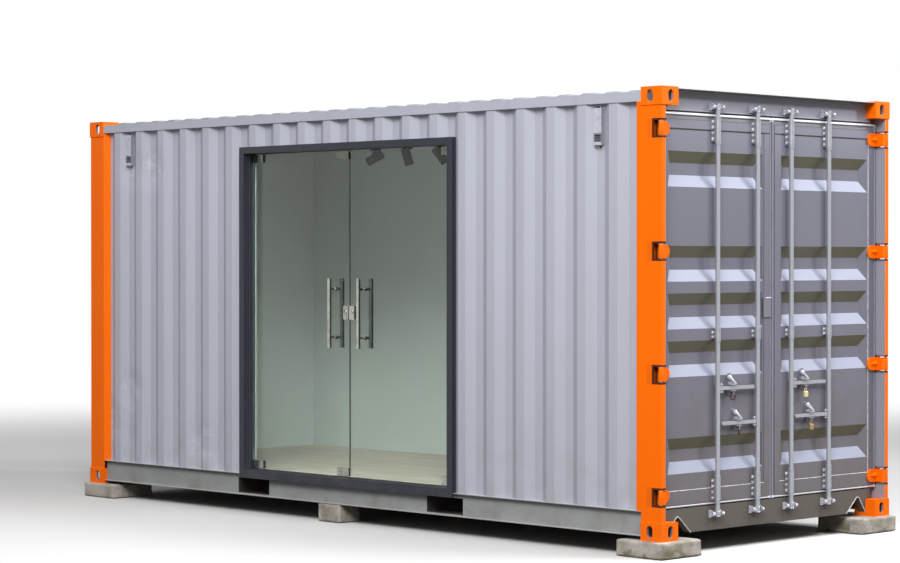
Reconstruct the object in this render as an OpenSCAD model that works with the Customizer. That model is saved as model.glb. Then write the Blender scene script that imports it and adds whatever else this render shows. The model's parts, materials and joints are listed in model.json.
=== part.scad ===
// Shipping container cabin: a high container on concrete blocks, with a double glass door
// in one long side and steel cargo doors at one end.
// Millimetres. X runs along the length with the cargo doors at +X.
// The glass door is in the -Y long side. Z is up, and Z = 0 is the underside of the blocks.

/* [Container] */
// Length over the corner castings
container_length = 6058; // [2991:1:12192]
// Width over the corner castings
container_width = 2438; // [2200:1:2600]
// Height over the corner castings
container_height = 2896; // [2438:1:3200]
// Casting length along the container
casting_length = 178; // [120:1:220]
// Casting width across the container
casting_width = 162; // [120:1:200]
// Casting height
casting_height = 118; // [90:1:150]
// Wall of a casting
casting_wall = 24; // [14:1:30]
// Casting holes' distance from the container's end
hole_from_end = 101.5; // [80:0.5:110]
// Casting holes' distance from the container's side
hole_from_side = 89; // [70:0.5:95]
// How far sheets and rails lie behind the castings' faces
casting_proud = 6; // [3:1:12]

/* [Blocks] */
// Height of the concrete blocks under the castings
block_height = 110; // [60:5:300]
// Side of a square corner block
block_side = 400; // [200:5:600]
// How far a corner block shows outside the casting
block_over = 40; // [0:5:80]
// Position of the middle blocks along the length
mid_block_x = -150; // [-600:10:600]

/* [Frame and walls] */
// Plate thickness of the posts
post_plate = 6; // [4:1:10]
// Side of the square top rails
top_rail = 60; // [50:1:80]
// Top rail's face below the top of the castings
top_rail_drop = 32; // [20:1:50]
// Underside of the bottom rails above the castings' underside
rail_lift = 25; // [12:1:40]
// Height of the bottom rails
bottom_rail = 162; // [130:1:180]
// Corrugation pitch of the walls
wave_pitch = 278; // [200:1:300]
// Outer flat of a wall corrugation
wave_flat = 72; // [50:1:110]
// Run of each corrugation slope
wave_slope = 68; // [20:1:80]
// Depth of the wall corrugation
wave_depth = 36; // [20:1:48]
// Sheet thickness of walls and roof
sheet = 2; // [1.6:0.1:4]
// Pitch of the roof corrugation
roof_pitch = 209; // [150:1:260]
// Depth of the roof corrugation
roof_depth = 20; // [12:1:24]
// Width of a roof crest at its foot
crest_width = 117; // [80:1:140]

/* [Underframe] */
// Distance between the fork pockets' centres
pocket_spacing = 2050; // [900:1:2200]
// Clear width of a fork pocket
pocket_width = 360; // [300:1:400]
// Clear height of a fork pocket
pocket_height = 115; // [100:1:125]
// Pitch of the cross members
member_pitch = 280; // [200:5:340]
// Floor thickness
floor_thick = 28; // [21:1:40]

/* [Glass door] */
// Clear width between the jambs
doorway_width = 2180; // [1400:5:2400]
// Face width of jambs and head
jamb_face = 50; // [40:1:80]
// Depth of the door frame
frame_depth = 120; // [80:1:150]
// How far the door frame stands out past the castings
frame_proud = 10; // [0:1:30]
// Frame top below the top rail
frame_top_gap = 168; // [120:1:260]
// Glass thickness
glass_thick = 12; // [8:1:15]
// Distance of the glass from the frame's outer face
glass_setback = 95; // [60:1:110]
// Gap round the glass leaves
glass_gap = 6; // [5:0.5:10]
// Pivot distance from the leaf's edge
pivot_inset = 65; // [50:1:80]
// Length of a pull handle
pull_length = 500; // [300:5:1200]
// Distance of the pull handle from the meeting edge
pull_inset = 155; // [80:1:200]
// Height of the pull handle's centre above the castings' underside
pull_height = 1405; // [1200:5:1500]

/* [Lights and vents] */
// Position of the spotlight next to the blind end
first_spot = -960; // [-1500:10:-400]
// Distance between two spotlights
spot_pitch = 365; // [200:10:600]
// Length of a spotlight's can
spot_length = 130; // [90:1:200]
// Track beyond the outer spotlights
track_over = 520; // [60:10:900]
// Length of a spotlight's adaptor on the track
adaptor_length = 90; // [60:1:140]
// Pivot of a spotlight below the track
spot_drop = 82; // [75:1:120]
// Height of a vent box
vent_height = 240; // [120:5:320]
// Top of a vent box below the top rail
vent_drop = 28; // [10:1:120]

/* [Cargo doors] */
// Depth of a door leaf
leaf_depth = 45; // [40:1:60]
// Distance of the leaves' outer face behind the end castings
leaf_setback = 79; // [70:1:100]
// Half the gap between the two leaves' steel edges
leaf_half_gap = 14; // [12:1:20]
// Underside of the leaves above the castings' underside
leaf_bottom = 205; // [190:1:240]
// Top of the leaves below the castings' top
leaf_top_drop = 161; // [140:1:200]
// Radius of the lock rods
rod_radius = 16; // [14:0.5:17]
// Inner rods' distance from the centre line
rod_inner = 180; // [120:1:260]
// Outer rods' distance from the centre line
rod_outer = 595; // [500:1:720]
// Height of the left leaf's upper handle
handle_1_height = 953; // [800:1:1400]
// Height of the left leaf's lower handle
handle_2_height = 722; // [600:1:1200]
// Height of the right leaf's upper handle
handle_3_height = 962; // [800:1:1400]
// Height of the right leaf's lower handle
handle_4_height = 738; // [600:1:1200]
// Length of a lock handle from its rod
handle_length = 375; // [300:5:380]
// Length of a rod bracket near a leaf's top or bottom
end_bracket = 150; // [80:1:180]
// Length of a rod bracket at the middle of a leaf
mid_bracket = 58; // [40:1:80]
// Height of a leaf's lowest bracket above the leaf's underside
low_bracket_rise = 90; // [80:1:160]
// Height of a leaf's middle bracket above the leaf's underside
mid_bracket_rise = 1098; // [900:1:1300]
// Distance of a leaf's highest bracket below the leaf's top
top_bracket_drop = 100; // [90:1:160]
// Underside of the plate at the meeting edge above the leaf's underside
seal_plate_rise = 1204; // [1000:1:1500]
// Height of the plate at the meeting edge
seal_plate_height = 128; // [80:1:200]
// Width of the plate at the meeting edge
seal_plate_width = 78; // [50:1:90]
// Distance from an upper handle's rod to its catch
upper_catch = 145; // [120:5:240]
// Distance from a lower handle's rod to its catch
lower_catch = 210; // [120:5:240]
// Height of a hinge blade
hinge_height = 90; // [70:1:110]
// Height of a pressed recess in the door panel
recess_height = 230; // [180:1:240]
// Height of the sealing lip over a leaf's top edge
seal_lip = 34; // [20:1:44]
// Height of the bar of a lock handle
handle_bar = 24; // [16:1:40]
// Distance of a keeper's ears from its rod
keeper_reach = 42; // [40:1:70]

/* [View] */
// Node to draw, or all

/* [Hidden] */
$fn = 48;

hx = container_length / 2;
hy = container_width / 2;
ht = container_height;
// faces of the sheets and rails
fx = hx - casting_proud;
fy = hy - casting_proud;
// inner ends of the castings
cx = hx - casting_length;
cy = hy - casting_width;
hole_x = hx - hole_from_end;
hole_y = hy - hole_from_side;
crest_half = fy - 60;
// post sections: start beside the wall, stop face for the doors, inner face
post_x = cx - 39;
post_stop = hx - 134;
post_return = hy - 46;
post_inner = hy - 109;
// rails
rail_top = rail_lift + bottom_rail;
top_rail_top = ht - top_rail_drop;
top_rail_bottom = top_rail_top - top_rail;
web_out = fy - 30;
web_in = web_out - 4.5;
flange_in = fy - 48;
// walls
wall_out = fy - 7;
wall_in = wall_out - wave_depth;
wave_rest = wave_pitch - wave_flat - 2 * wave_slope;
side_waves = floor((2 * post_x - 40) / wave_pitch);
side_start = -side_waves * wave_pitch / 2;
// underframe
pocket_low = rail_lift + 12;
pocket_top = pocket_low + pocket_height;
deck_low = rail_top - floor_thick;
// header and sill
head_low = ht - 146;
head_face = hx - 85;
sill_top = rail_top + 3;
sill_low = rail_lift + 5;
// notch beside the bottom casting: its foot, its top and the line round it
notch_foot = cy - 222;
notch_peak = [cy - 89, 150];
notch_line = rounded([[cy, sill_low], notch_peak, [notch_foot, sill_low]], 30);
// lining
lining = 12;
lining_face = hy - 110;
ceiling_low = top_rail_bottom - 104;
lining_x0 = -hx + 89;
lining_x1 = hx - 149;
// glass door
door_half = doorway_width / 2;
frame_half = door_half + jamb_face;
frame_top = top_rail_bottom - frame_top_gap;
frame_y0 = -(hy + frame_proud);
frame_y1 = frame_y0 + frame_depth;
frame_mid = frame_y0 + 59;
step_in = 3;
head_under = frame_top - jamb_face;
sill_under = rail_top + 32;
glass_y = frame_y0 + glass_setback;
glass_side = door_half - step_in - glass_gap;
glass_low = sill_under + step_in + glass_gap + 3;
glass_high = head_under - step_in - glass_gap - 3;
meet_gap = glass_gap / 2;
pivot_x = glass_side - pivot_inset;
patch = [125, 30, 55];
// tilt from upright and heading of each spotlight
spot_aim = [[64, 20], [16, 220], [38, 200]];
// cargo doors
leaf_out = hx - leaf_setback;
leaf_in = leaf_out - leaf_depth;
leaf_edge = post_return - 23;
leaf_top = ht - leaf_top_drop;
panel_step = 4;
seal_x = leaf_in + 19;
top_bead = 13;
side_bead = 8;
rod_x = leaf_out + 22;
pin_x = hx - 19;
pin_y = hy - 16;
pin_radius = 9;
hinge_z = [for (i = [0:3]) 280 + i * (leaf_top - 385) / 3];
blade_half = hinge_height / 2;
recess_z = [2377, 1767, 1461, 1153, 530];
recess_k = (leaf_top - leaf_bottom) / 2530;
seal_plate_z = leaf_bottom + seal_plate_rise;
// height, half length and depth of the seat of each rod bracket
brackets = [[leaf_bottom + low_bracket_rise, end_bracket / 2, 0],
    [leaf_bottom + mid_bracket_rise, mid_bracket / 2, panel_step],
    [leaf_top - top_bracket_drop, end_bracket / 2, 0]];
cam_low = sill_top - 54;
cam_high = head_low + 39;
rod_low = cam_low - 19;
rod_high = cam_high + 19;
cam_reach = keeper_reach - 13;

// helpers: mitred offset of an open and of a closed outline
function unit(v) = v / norm(v);
function normal(a, b) = [-(b - a)[1], (b - a)[0]] / norm(b - a);
function miter(n, m, d) = (n + m) * d / (1 + n * m);
function open_offset(p, d) = [for (i = [0:len(p) - 1])
    let (n = i > 0 ? normal(p[i - 1], p[i]) : normal(p[0], p[1]),
         m = i < len(p) - 1 ? normal(p[i], p[i + 1]) : n) p[i] + miter(n, m, d)];
function closed_offset(p, d) = [for (i = [0:len(p) - 1])
    let (k = len(p), n = normal(p[(i + k - 1) % k], p[i]), m = normal(p[i], p[(i + 1) % k]))
    p[i] + miter(n, m, d)];
function turned(p) = [for (i = [len(p) - 1:-1:0]) p[i]];

// a line through three points whose middle corner is rounded to radius r
function rounded(p, r) =
    let (u = unit(p[0] - p[1]), v = unit(p[2] - p[1]), half = acos(u * v) / 2,
         c = p[1] + unit(u + v) * r / sin(half), w = p[1] + u * r / tan(half) - c,
         a = atan2(w[1], w[0]), turn = (180 - 2 * half) * (u[0] * v[1] > u[1] * v[0] ? -1 : 1))
    concat([p[0]], [for (i = [0:6]) c + r * [cos(a + turn * i / 6), sin(a + turn * i / 6)]], [p[2]]);

// a bent sheet of even thickness drawn round a middle line
module strip(p, t) {
    polygon(concat(open_offset(p, t / 2), turned(open_offset(p, -t / 2))));
}

// a cube given by its low and high corners
module block(a, b) {
    translate(a) cube(b - a);
}

// extrude a YZ outline along X
module along_x(x0, x1) {
    translate([x0, 0, 0]) rotate([90, 0, 90]) linear_extrude(x1 - x0) children();
}

// extrude an XZ outline along Y
module along_y(y0, y1) {
    translate([0, y1, 0]) rotate([90, 0, 0]) linear_extrude(y1 - y0) children();
}

// stadium outline, its long side along x
module slot(l, w) {
    square([l - w, w], center = true);
    translate([(l - w) / 2, 0]) circle(d = w);
    translate([(w - l) / 2, 0]) circle(d = w);
}

module lift() {
    translate([0, 0, block_height]) children();
}

module both_sides() {
    children();
    mirror([0, 1, 0]) children();
}

module both_ends() {
    children();
    mirror([1, 0, 0]) children();
}

// ground blocks
// a cast block: low and high corners, with chamfered upper edges
module cast_block(a, b) {
    c = 10;
    intersection() {
        along_x(a[0], b[0]) polygon([[a[1], a[2]], [b[1], a[2]], [b[1], b[2] - c],
            [b[1] - c, b[2]], [a[1] + c, b[2]], [a[1], b[2] - c]]);
        along_y(a[1], b[1]) polygon([[a[0], a[2]], [b[0], a[2]], [b[0], b[2] - c],
            [b[0] - c, b[2]], [a[0] + c, b[2]], [a[0], b[2] - c]]);
    }
}

module concrete_blocks() {
    over = [hx + block_over, hy + block_over];
    color([0.5, 0.49, 0.46]) {
        both_sides() both_ends() cast_block([over[0] - block_side, over[1] - block_side, 0],
            [over[0], over[1], block_height]);
        both_sides() cast_block([mid_block_x - 120, hy - 215, 0],
            [mid_block_x + 120, hy - 5, block_height + rail_lift]);
    }
}

// corner castings
module casting() {
    difference() {
        block([cx, cy, 0], [hx, hy, casting_height]);
        block([cx + casting_wall, cy + casting_wall, casting_wall],
            [hx - casting_wall, hy - casting_wall, casting_height - casting_wall]);
        translate([hole_x, hole_y, -1]) linear_extrude(casting_wall + 2) slot(124, 63.5);
        translate([hole_x, hy - casting_wall - 1, casting_height / 2]) rotate([-90, 0, 0])
            linear_extrude(casting_wall + 2) rotate(90) slot(79.5, 51);
        translate([hx - casting_wall - 1, hole_y, casting_height / 2]) rotate([90, 0, 90])
            linear_extrude(casting_wall + 2) rotate(90) slot(79.5, 51);
    }
}

module corner_castings() {
    color([0.95, 0.36, 0.03]) lift() both_sides() both_ends() {
        casting();
        translate([0, 0, ht]) mirror([0, 0, 1]) casting();
    }
}

// posts
door_post = [[post_x, fy], [post_x, post_inner], [post_stop, post_inner],
    [post_stop, post_return], [fx, post_return], [fx, fy]];
blind_post = [[post_x + 40, fy], [post_x, wall_in + 1], [post_x, post_inner],
    [hx - 64, post_inner], [hx - 64, fy - 153], [hx - 44, fy - 153], [fx, fy - 113], [fx, fy]];

module post_body(p) {
    difference() {
        translate([0, 0, casting_height]) linear_extrude(top_rail_bottom - casting_height)
            difference() {
                polygon(p);
                polygon(closed_offset(p, post_plate));
            }
        block([cx, cy - 60, ht - casting_height], [hx + 1, hy + 1, ht]);
        block([post_x - 1, cy - 60, 0], [cx, hy + 1, rail_top]);
    }
}

module hinge_pocket(z) {
    block([hx - 74, post_return - 4, z - blade_half - 17], [hx + 1, hy + 1, z + blade_half + 17]);
}

module hinge_lugs(z) {
    for (s = [-1, 1])
        block([hx - 74, post_return - 4, z + s * (blade_half + 11) - 6],
            [fx, fy, z + s * (blade_half + 11) + 6]);
}

module door_end_posts() {
    color([0.95, 0.36, 0.03]) lift() both_sides() difference() {
        union() {
            difference() {
                post_body(door_post);
                for (z = hinge_z) hinge_pocket(z);
            }
            for (z = hinge_z) hinge_lugs(z);
        }
        for (z = hinge_z) translate([pin_x, pin_y, z - 80]) cylinder(r = pin_radius, h = 160);
    }
}

module blind_end_posts() {
    color([0.95, 0.36, 0.03]) lift() both_sides() mirror([1, 0, 0]) post_body(blind_post);
}

// rails
module top_side_rails() {
    color([0.62, 0.62, 0.64]) lift() both_sides() along_x(-cx, cx) difference() {
        translate([fy - top_rail, top_rail_bottom]) square(top_rail);
        translate([fy - top_rail + 4, top_rail_bottom + 4]) square(top_rail - 8);
    }
}

module bottom_side_rails() {
    color([0.42, 0.42, 0.43]) lift() both_sides() difference() {
        union() {
            block([-cx, web_in, rail_lift], [cx, web_out, rail_top]);
            block([-cx, flange_in, rail_top - 4.5], [cx, fy, rail_top]);
            block([-cx, web_in, rail_lift], [cx, fy - 5, rail_lift + 4.5]);
        }
        for (s = [-1, 1]) translate([s * pocket_spacing / 2, fy, pocket_low + pocket_height / 2])
            cube([pocket_width, 2 * (fy - flange_in), pocket_height], center = true);
    }
}

module door_header() {
    color([0.3, 0.3, 0.3]) lift() difference() {
        union() {
            block([head_face - 60, -cy, head_low], [head_face, cy, ht - 14]);
            block([head_face - 60, -post_inner, head_low], [head_face, post_inner, ht - casting_height]);
            block([cx, -cy, ht - 14], [hx - 9, cy, ht - 8]);
            block([head_face, -post_inner, head_low], [head_face + 6, post_inner, head_low + 8]);
        }
        block([head_face - 55, -cy - 1, head_low + 33], [head_face - 5, cy + 1, ht - 19]);
        block([head_face - 55, -post_inner - 1, head_low + 5],
            [head_face - 5, post_inner + 1, ht - casting_height - 5]);
    }
}

module sill_notch() {
    polygon(concat([[cy + 1, rail_lift - 5]], notch_line, [[notch_foot, rail_lift - 5]]));
}

module door_sill() {
    color([0.3, 0.3, 0.3]) lift() {
        difference() {
            union() {
                block([head_face - 6, -cy, sill_low], [head_face, cy, sill_top]);
                block([head_face - 6, -post_inner, casting_height], [head_face, post_inner, sill_top]);
                block([lining_x1, -post_inner, sill_top - 6], [head_face, post_inner, sill_top]);
                block([head_face - 54, -cy, sill_low], [head_face, cy, sill_low + 6]);
            }
            both_sides() along_x(head_face - 100, head_face + 1) sill_notch();
        }
        both_sides() along_x(head_face - 54, head_face) intersection() {
            strip(notch_line, 6);
            translate([0, sill_low]) square([cy, sill_top]);
        }
    }
}

module blind_end_rails() {
    color([0.42, 0.42, 0.43]) lift() {
        along_y(-cy, cy) difference() {
            translate([-fx, rail_lift]) square([top_rail, bottom_rail]);
            translate([-fx + 5, rail_lift + 5]) square([top_rail - 10, bottom_rail - 10]);
        }
        along_y(-cy, cy) difference() {
            union() {
                translate([-fx, top_rail_bottom]) square(top_rail);
                translate([-hx + 9, top_rail_top]) square([casting_length - 9, 6]);
            }
            translate([-fx + 4, top_rail_bottom + 4]) square(top_rail - 8);
        }
    }
}

// corrugated skins
function wave(x0, n, a, b) = [for (i = [0:n - 1]) each [[x0 + i * wave_pitch, a],
    [x0 + i * wave_pitch + wave_slope, b], [x0 + i * wave_pitch + wave_slope + wave_flat, b],
    [x0 + i * wave_pitch + 2 * wave_slope + wave_flat, a]]];

module side_skin() {
    strip(concat([[-post_x, -wall_in]], wave(side_start, side_waves, -wall_in, -wall_out),
        [[post_x, -wall_in]]), sheet);
}

module front_wall_left() {
    color([0.78, 0.78, 0.81]) lift() translate([0, 0, rail_top]) linear_extrude(top_rail_bottom - rail_top)
        intersection() {
            side_skin();
            translate([-hx, -hy]) square([hx - frame_half, hy]);
        }
}

module front_wall_right() {
    color([0.78, 0.78, 0.81]) lift() translate([0, 0, rail_top]) linear_extrude(top_rail_bottom - rail_top)
        intersection() {
            side_skin();
            translate([frame_half, -hy]) square([hx - frame_half, hy]);
        }
}

module front_wall_over_door() {
    color([0.78, 0.78, 0.81]) lift() translate([0, 0, frame_top]) linear_extrude(top_rail_bottom - frame_top)
        intersection() {
            side_skin();
            translate([-frame_half, -hy]) square([2 * frame_half, hy]);
        }
}

module back_wall() {
    color([0.78, 0.78, 0.81]) lift() translate([0, 0, rail_top]) linear_extrude(top_rail_bottom - rail_top)
        mirror([0, 1]) side_skin();
}

module blind_end_wall() {
    n = floor((2 * cy) / wave_pitch);
    e = fy - 153;
    color([0.78, 0.78, 0.81]) lift() difference() {
        translate([0, 0, rail_top]) linear_extrude(top_rail_bottom - rail_top)
            rotate(-90) strip(concat([[-e, -hx + 46]], wave(-n * wave_pitch / 2, n, -hx + 46, -fx + 7),
                [[e, -hx + 46]]), sheet);
        both_sides() block([-hx, cy, ht - casting_height], [-cx, hy, ht]);
    }
}

// outline of a roof crest, and with a leg under it the outline of the hollow in it
function crest(w, run) = [[0, 0], [w, 0], [w - run, roof_depth], [run, roof_depth]];
function crest_hollow(w, run, leg) = closed_offset([[0, -leg], [w, -leg], [w, 0],
    [w - run, roof_depth], [run, roof_depth], [0, 0]], sheet);

module roof_crests(hollow) {
    n = floor(2 * cx / roof_pitch);
    leg = 3 * sheet;
    for (i = [0:n - 1]) translate([i * roof_pitch - ((n - 1) * roof_pitch + crest_width) / 2, 0, 0])
        intersection() {
            along_y(-fy, fy) polygon(hollow ? crest_hollow(crest_width, 13, leg) : crest(crest_width, 13));
            along_x(0, crest_width) translate([-crest_half, 0])
                polygon(hollow ? crest_hollow(2 * crest_half, 45, leg) : crest(2 * crest_half, 45));
        }
}

module roof_panel() {
    color([0.74, 0.74, 0.76]) lift() translate([0, 0, top_rail_top + sheet]) difference() {
        union() {
            block([-cx, -fy + 8, -sheet], [cx, fy - 8, 0]);
            roof_crests(false);
        }
        roof_crests(true);
    }
}

// underframe
member_x = [for (i = [-9:9]) if (abs(i) * member_pitch < cx - 30
    && abs(abs(i) * member_pitch - pocket_spacing / 2) > pocket_width / 2 + 40) i * member_pitch];

module cross_members() {
    color([0.2, 0.2, 0.2]) lift() for (x = member_x) {
        block([x - 2, -web_in, pocket_low - 10], [x + 2, web_in, deck_low]);
        block([x - 2, -web_in, deck_low - 4], [x + 43, web_in, deck_low]);
        block([x - 2, -web_in, pocket_low - 10], [x + 43, web_in, pocket_low - 6]);
    }
}

module fork_pockets() {
    w = pocket_width / 2;
    color([0.2, 0.2, 0.2]) lift() for (s = [-1, 1]) translate([s * pocket_spacing / 2, 0, 0]) {
        block([-w - 6, -web_in, pocket_top], [w + 6, web_in, deck_low]);
        for (k = [0, 1]) mirror([k, 0, 0])
            block([w, -web_in, pocket_low - 6], [w + 6, web_in, pocket_top + 1]);
        both_sides() block([-w - 6, web_in - 200, pocket_low - 6], [w + 6, web_in, pocket_low]);
    }
}

module floor_deck() {
    color([0.6, 0.5, 0.38]) lift() translate([0, 0, deck_low]) linear_extrude(floor_thick) {
        translate([-post_x, -flange_in]) square([2 * post_x, 2 * flange_in]);
        translate([-hx + 66, -post_inner]) square([lining_x1 + hx - 66, 2 * post_inner]);
    }
}

// lining
module wall_lining() {
    color([0.9, 0.89, 0.86]) lift() {
        block([lining_x0, lining_face - lining, rail_top], [lining_x1, lining_face, ceiling_low]);
        block([lining_x0, -lining_face + lining + 2, rail_top],
            [lining_x0 + lining, lining_face - lining - 2, ceiling_low]);
        block([lining_x0, -lining_face, rail_top], [-door_half - 2, -lining_face + lining, ceiling_low]);
        block([door_half + 2, -lining_face, rail_top], [lining_x1, -lining_face + lining, ceiling_low]);
        block([-door_half, -lining_face, head_under], [door_half, -lining_face + lining, ceiling_low]);
    }
}

module ceiling_lining() {
    color([0.92, 0.91, 0.88]) lift()
        block([lining_x0, -lining_face, ceiling_low], [lining_x1, lining_face, ceiling_low + lining]);
}

// glass door frame
module frame_ring(y0, y1, step) {
    along_y(y0, y1) difference() {
        translate([-frame_half, rail_top]) square([2 * frame_half, frame_top - rail_top]);
        translate([-door_half + step, sill_under + step])
            square([doorway_width - 2 * step, head_under - sill_under - 2 * step]);
    }
}

module glass_door_frame() {
    color([0.05, 0.06, 0.09]) lift() {
        frame_ring(frame_y0, frame_mid, 0);
        frame_ring(frame_mid, frame_y1, step_in);
        block([-frame_half, frame_y0, rail_top - 31], [frame_half, -hy + 4, rail_top + 1]);
    }
}

// ceiling lights
module track_lights() {
    color([0.03, 0.03, 0.03]) lift() {
        block([first_spot - track_over, -17, ceiling_low - 32],
            [first_spot + 2 * spot_pitch + track_over, 17, ceiling_low]);
        for (i = [0:2]) translate([first_spot + i * spot_pitch, 0, ceiling_low - 32]) {
            translate([-adaptor_length / 2, -14, -26]) cube([adaptor_length, 28, 27]);
            translate([0, 0, 12 - spot_drop]) cylinder(r = 7, h = spot_drop - 32);
            translate([0, 0, -spot_drop]) rotate([0, spot_aim[i][0], spot_aim[i][1]])
                translate([0, 0, -spot_length / 2]) difference() {
                    cylinder(r = 34, h = spot_length);
                    translate([0, 0, -1]) cylinder(r = 29, h = 26);
                }
        }
    }
}

// a vent on a side wall: a box on a flanged back plate, open below and slotted at its foot
module vent_box() {
    back = -wall_in - sheet / 2;
    difference() {
        union() {
            block([-33, back - 34, 0], [33, back, vent_height]);
            block([-33, back - 3, -22], [33, back, vent_height + 22]);
        }
        block([-28, back - 29, -1], [28, back - 5, vent_height - 35]);
        for (i = [0:2]) block([-25, back - 35, 26 + i * 15], [25, back - 28, 35 + i * 15]);
    }
}

module vent_boxes() {
    color([0.8, 0.8, 0.82]) lift() both_sides()
        for (i = [0, side_waves - 2]) translate([side_start + (i + 1) * wave_pitch - wave_rest / 2,
            0, top_rail_bottom - vent_drop - vent_height]) vent_box();
}

// glass leaves: drawn for the right hand leaf, mirrored for the left
module pane() {
    difference() {
        block([meet_gap, glass_y - glass_thick / 2, glass_low],
            [glass_side, glass_y + glass_thick / 2, glass_high]);
        for (z = [glass_low - 1, glass_high - 24]) translate([pivot_x, glass_y, z])
            cylinder(r = 10, h = 25);
        for (s = [-1, 1]) translate([pull_inset, glass_y, pull_height + s * pull_length * 0.35])
            rotate([90, 0, 0]) cylinder(r = 10, h = 40, center = true);
    }
}

// a clamp of height h round the glass; cover is what closes over the glass's edge
module corner_patch(x0, x1, z, up) {
    difference() {
        block([x0, glass_y - patch[1] / 2, up > 0 ? z - 3 : z - patch[2]],
            [x1, glass_y + patch[1] / 2, up > 0 ? z + patch[2] : z + 3]);
        block([x0 - 1, glass_y - glass_thick / 2, up > 0 ? z : z - patch[2] - 1],
            [x1 + 1, glass_y + glass_thick / 2, up > 0 ? z + patch[2] + 1 : z]);
        translate([pivot_x, glass_y, z - 30]) cylinder(r = 8.5, h = 60);
    }
}

module pivot_patches() {
    corner_patch(glass_side - patch[0], glass_side, glass_low, 1);
    corner_patch(glass_side - patch[0], glass_side, glass_high, -1);
}

module edge_patches() {
    corner_patch(meet_gap, meet_gap + patch[0], glass_low, 1);
    corner_patch(meet_gap, meet_gap + patch[0], glass_high, -1);
}

module lock_case(knob) {
    difference() {
        block([meet_gap + 1, glass_y - 16, pull_height - 45], [meet_gap + 57, glass_y + 16, pull_height + 55]);
        block([meet_gap, glass_y - glass_thick / 2, pull_height - 46],
            [meet_gap + 58, glass_y + glass_thick / 2, pull_height + 56]);
    }
    if (knob) for (s = [-1, 1]) translate([meet_gap + 32, glass_y + s * 15, pull_height + 12])
        rotate([-s * 90, 0, 0]) cylinder(r = 13, h = 9);
}

module pull_handle() {
    for (s = [-1, 1]) translate([pull_inset, glass_y + s * 65, pull_height - pull_length / 2])
        cylinder(r = 16, h = pull_length);
    for (s = [-1, 1]) translate([pull_inset, glass_y, pull_height + s * pull_length * 0.35]) {
        rotate([90, 0, 0]) cylinder(r = 9, h = 130, center = true);
        for (k = [-1, 1]) translate([0, k * (glass_thick / 2 + 2), 0]) rotate([90, 0, 0])
            cylinder(r = 16, h = 4, center = true);
    }
}

module left_glass() {
    color([0.75, 0.88, 0.84, 0.35]) lift() mirror([1, 0, 0]) pane();
}

module right_glass() {
    color([0.75, 0.88, 0.84, 0.35]) lift() pane();
}

module left_glass_fittings() {
    color([0.8, 0.8, 0.8]) lift() mirror([1, 0, 0]) {
        pivot_patches();
        edge_patches();
        lock_case(false);
    }
}

module right_glass_fittings() {
    color([0.8, 0.8, 0.8]) lift() {
        pivot_patches();
        lock_case(true);
    }
}

module left_pull_handle() {
    color([0.8, 0.8, 0.8]) lift() mirror([1, 0, 0]) pull_handle();
}

module right_pull_handle() {
    color([0.8, 0.8, 0.8]) lift() pull_handle();
}

// pins of all hinges and pivots, which stay with the cabin
module hinge_pins() {
    color([0.6, 0.6, 0.6]) lift() {
        both_sides() for (z = hinge_z) translate([pin_x, pin_y, z - blade_half - 21])
            cylinder(r = pin_radius, h = 2 * blade_half + 42);
        both_ends() {
            translate([pivot_x, glass_y, sill_under + step_in]) cylinder(r = 8, h = glass_low + 14 - sill_under - step_in);
            translate([pivot_x, glass_y, glass_high - 14]) cylinder(r = 8, h = head_under - step_in - glass_high + 14);
        }
    }
}

// cargo leaves: drawn at +Y (the right hand leaf), mirrored for the left
module recess(half, floor_half, x_mouth, x_floor, grow) {
    y0 = leaf_half_gap + 84 - grow;
    y1 = leaf_edge - 84 + grow;
    intersection() {
        along_y(y0 - 1, y1 + 1) polygon([[x_floor, -floor_half], [x_mouth, -half], [x_mouth, half], [x_floor, floor_half]]);
        translate([0, 0, -half - 1]) linear_extrude(2 * half + 2)
            polygon([[x_floor, y0 + 60], [x_mouth, y0], [x_mouth, y1], [x_floor, y1 - 60]]);
    }
}

// outer form of a leaf, stepped back all round for its seal
module leaf_body() {
    block([leaf_in, leaf_half_gap, leaf_bottom], [seal_x, leaf_edge, leaf_top]);
    block([seal_x - 1, leaf_half_gap + 16, leaf_bottom + 10], [leaf_out, leaf_edge - 16, leaf_top - seal_lip]);
}

module cargo_leaf() {
    pane_out = leaf_out - panel_step;
    difference() {
        union() {
            difference() {
                leaf_body();
                block([leaf_in - 1, leaf_half_gap + 70, leaf_bottom + 100], [leaf_out + 1, leaf_edge - 70, leaf_top - 100]);
            }
            block([pane_out - 3, leaf_half_gap + 70, leaf_bottom + 100], [pane_out, leaf_edge - 70, leaf_top - 100]);
            for (z = recess_z) translate([0, 0, leaf_bottom + (z - 205) * recess_k])
                recess(recess_height / 2 + 7, 39.7, pane_out - 1, pane_out - 39, 6);
        }
        for (z = recess_z) translate([0, 0, leaf_bottom + (z - 205) * recess_k])
            recess(recess_height / 2 + 2.1, 39, pane_out + 1, pane_out - 36, 1);
    }
}

// rubber round a leaf: a flat ring, a lip in the leaf's step and a bead round the edge
module leaf_gasket() {
    y0 = 5;
    y1 = post_return - 6;
    z0 = leaf_bottom - 8;
    z1 = leaf_top + 8;
    side_x = leaf_out - side_bead - 1;
    side_in = side_bead + 0.5;
    difference() {
        union() {
            block([leaf_in + 7, y0, z0], [seal_x, y1, z1]);
            block([seal_x - 1, y0 + 4, z0 + 4], [side_x, y1 - 4, z1 - 4]);
            for (y = [y0 + side_in, y1 - side_in])
                translate([side_x, y, z0]) cylinder(r = side_bead, h = z1 - z0 - top_bead);
            translate([side_x, y0 + side_in, z0 + side_bead]) rotate([-90, 0, 0])
                cylinder(r = side_bead - 1, h = y1 - y0 - 2 * side_in);
            translate([leaf_out - top_bead - 0.5, y0, z1 - top_bead]) rotate([-90, 0, 0])
                cylinder(r = top_bead, h = y1 - y0);
        }
        leaf_body();
    }
}

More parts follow.
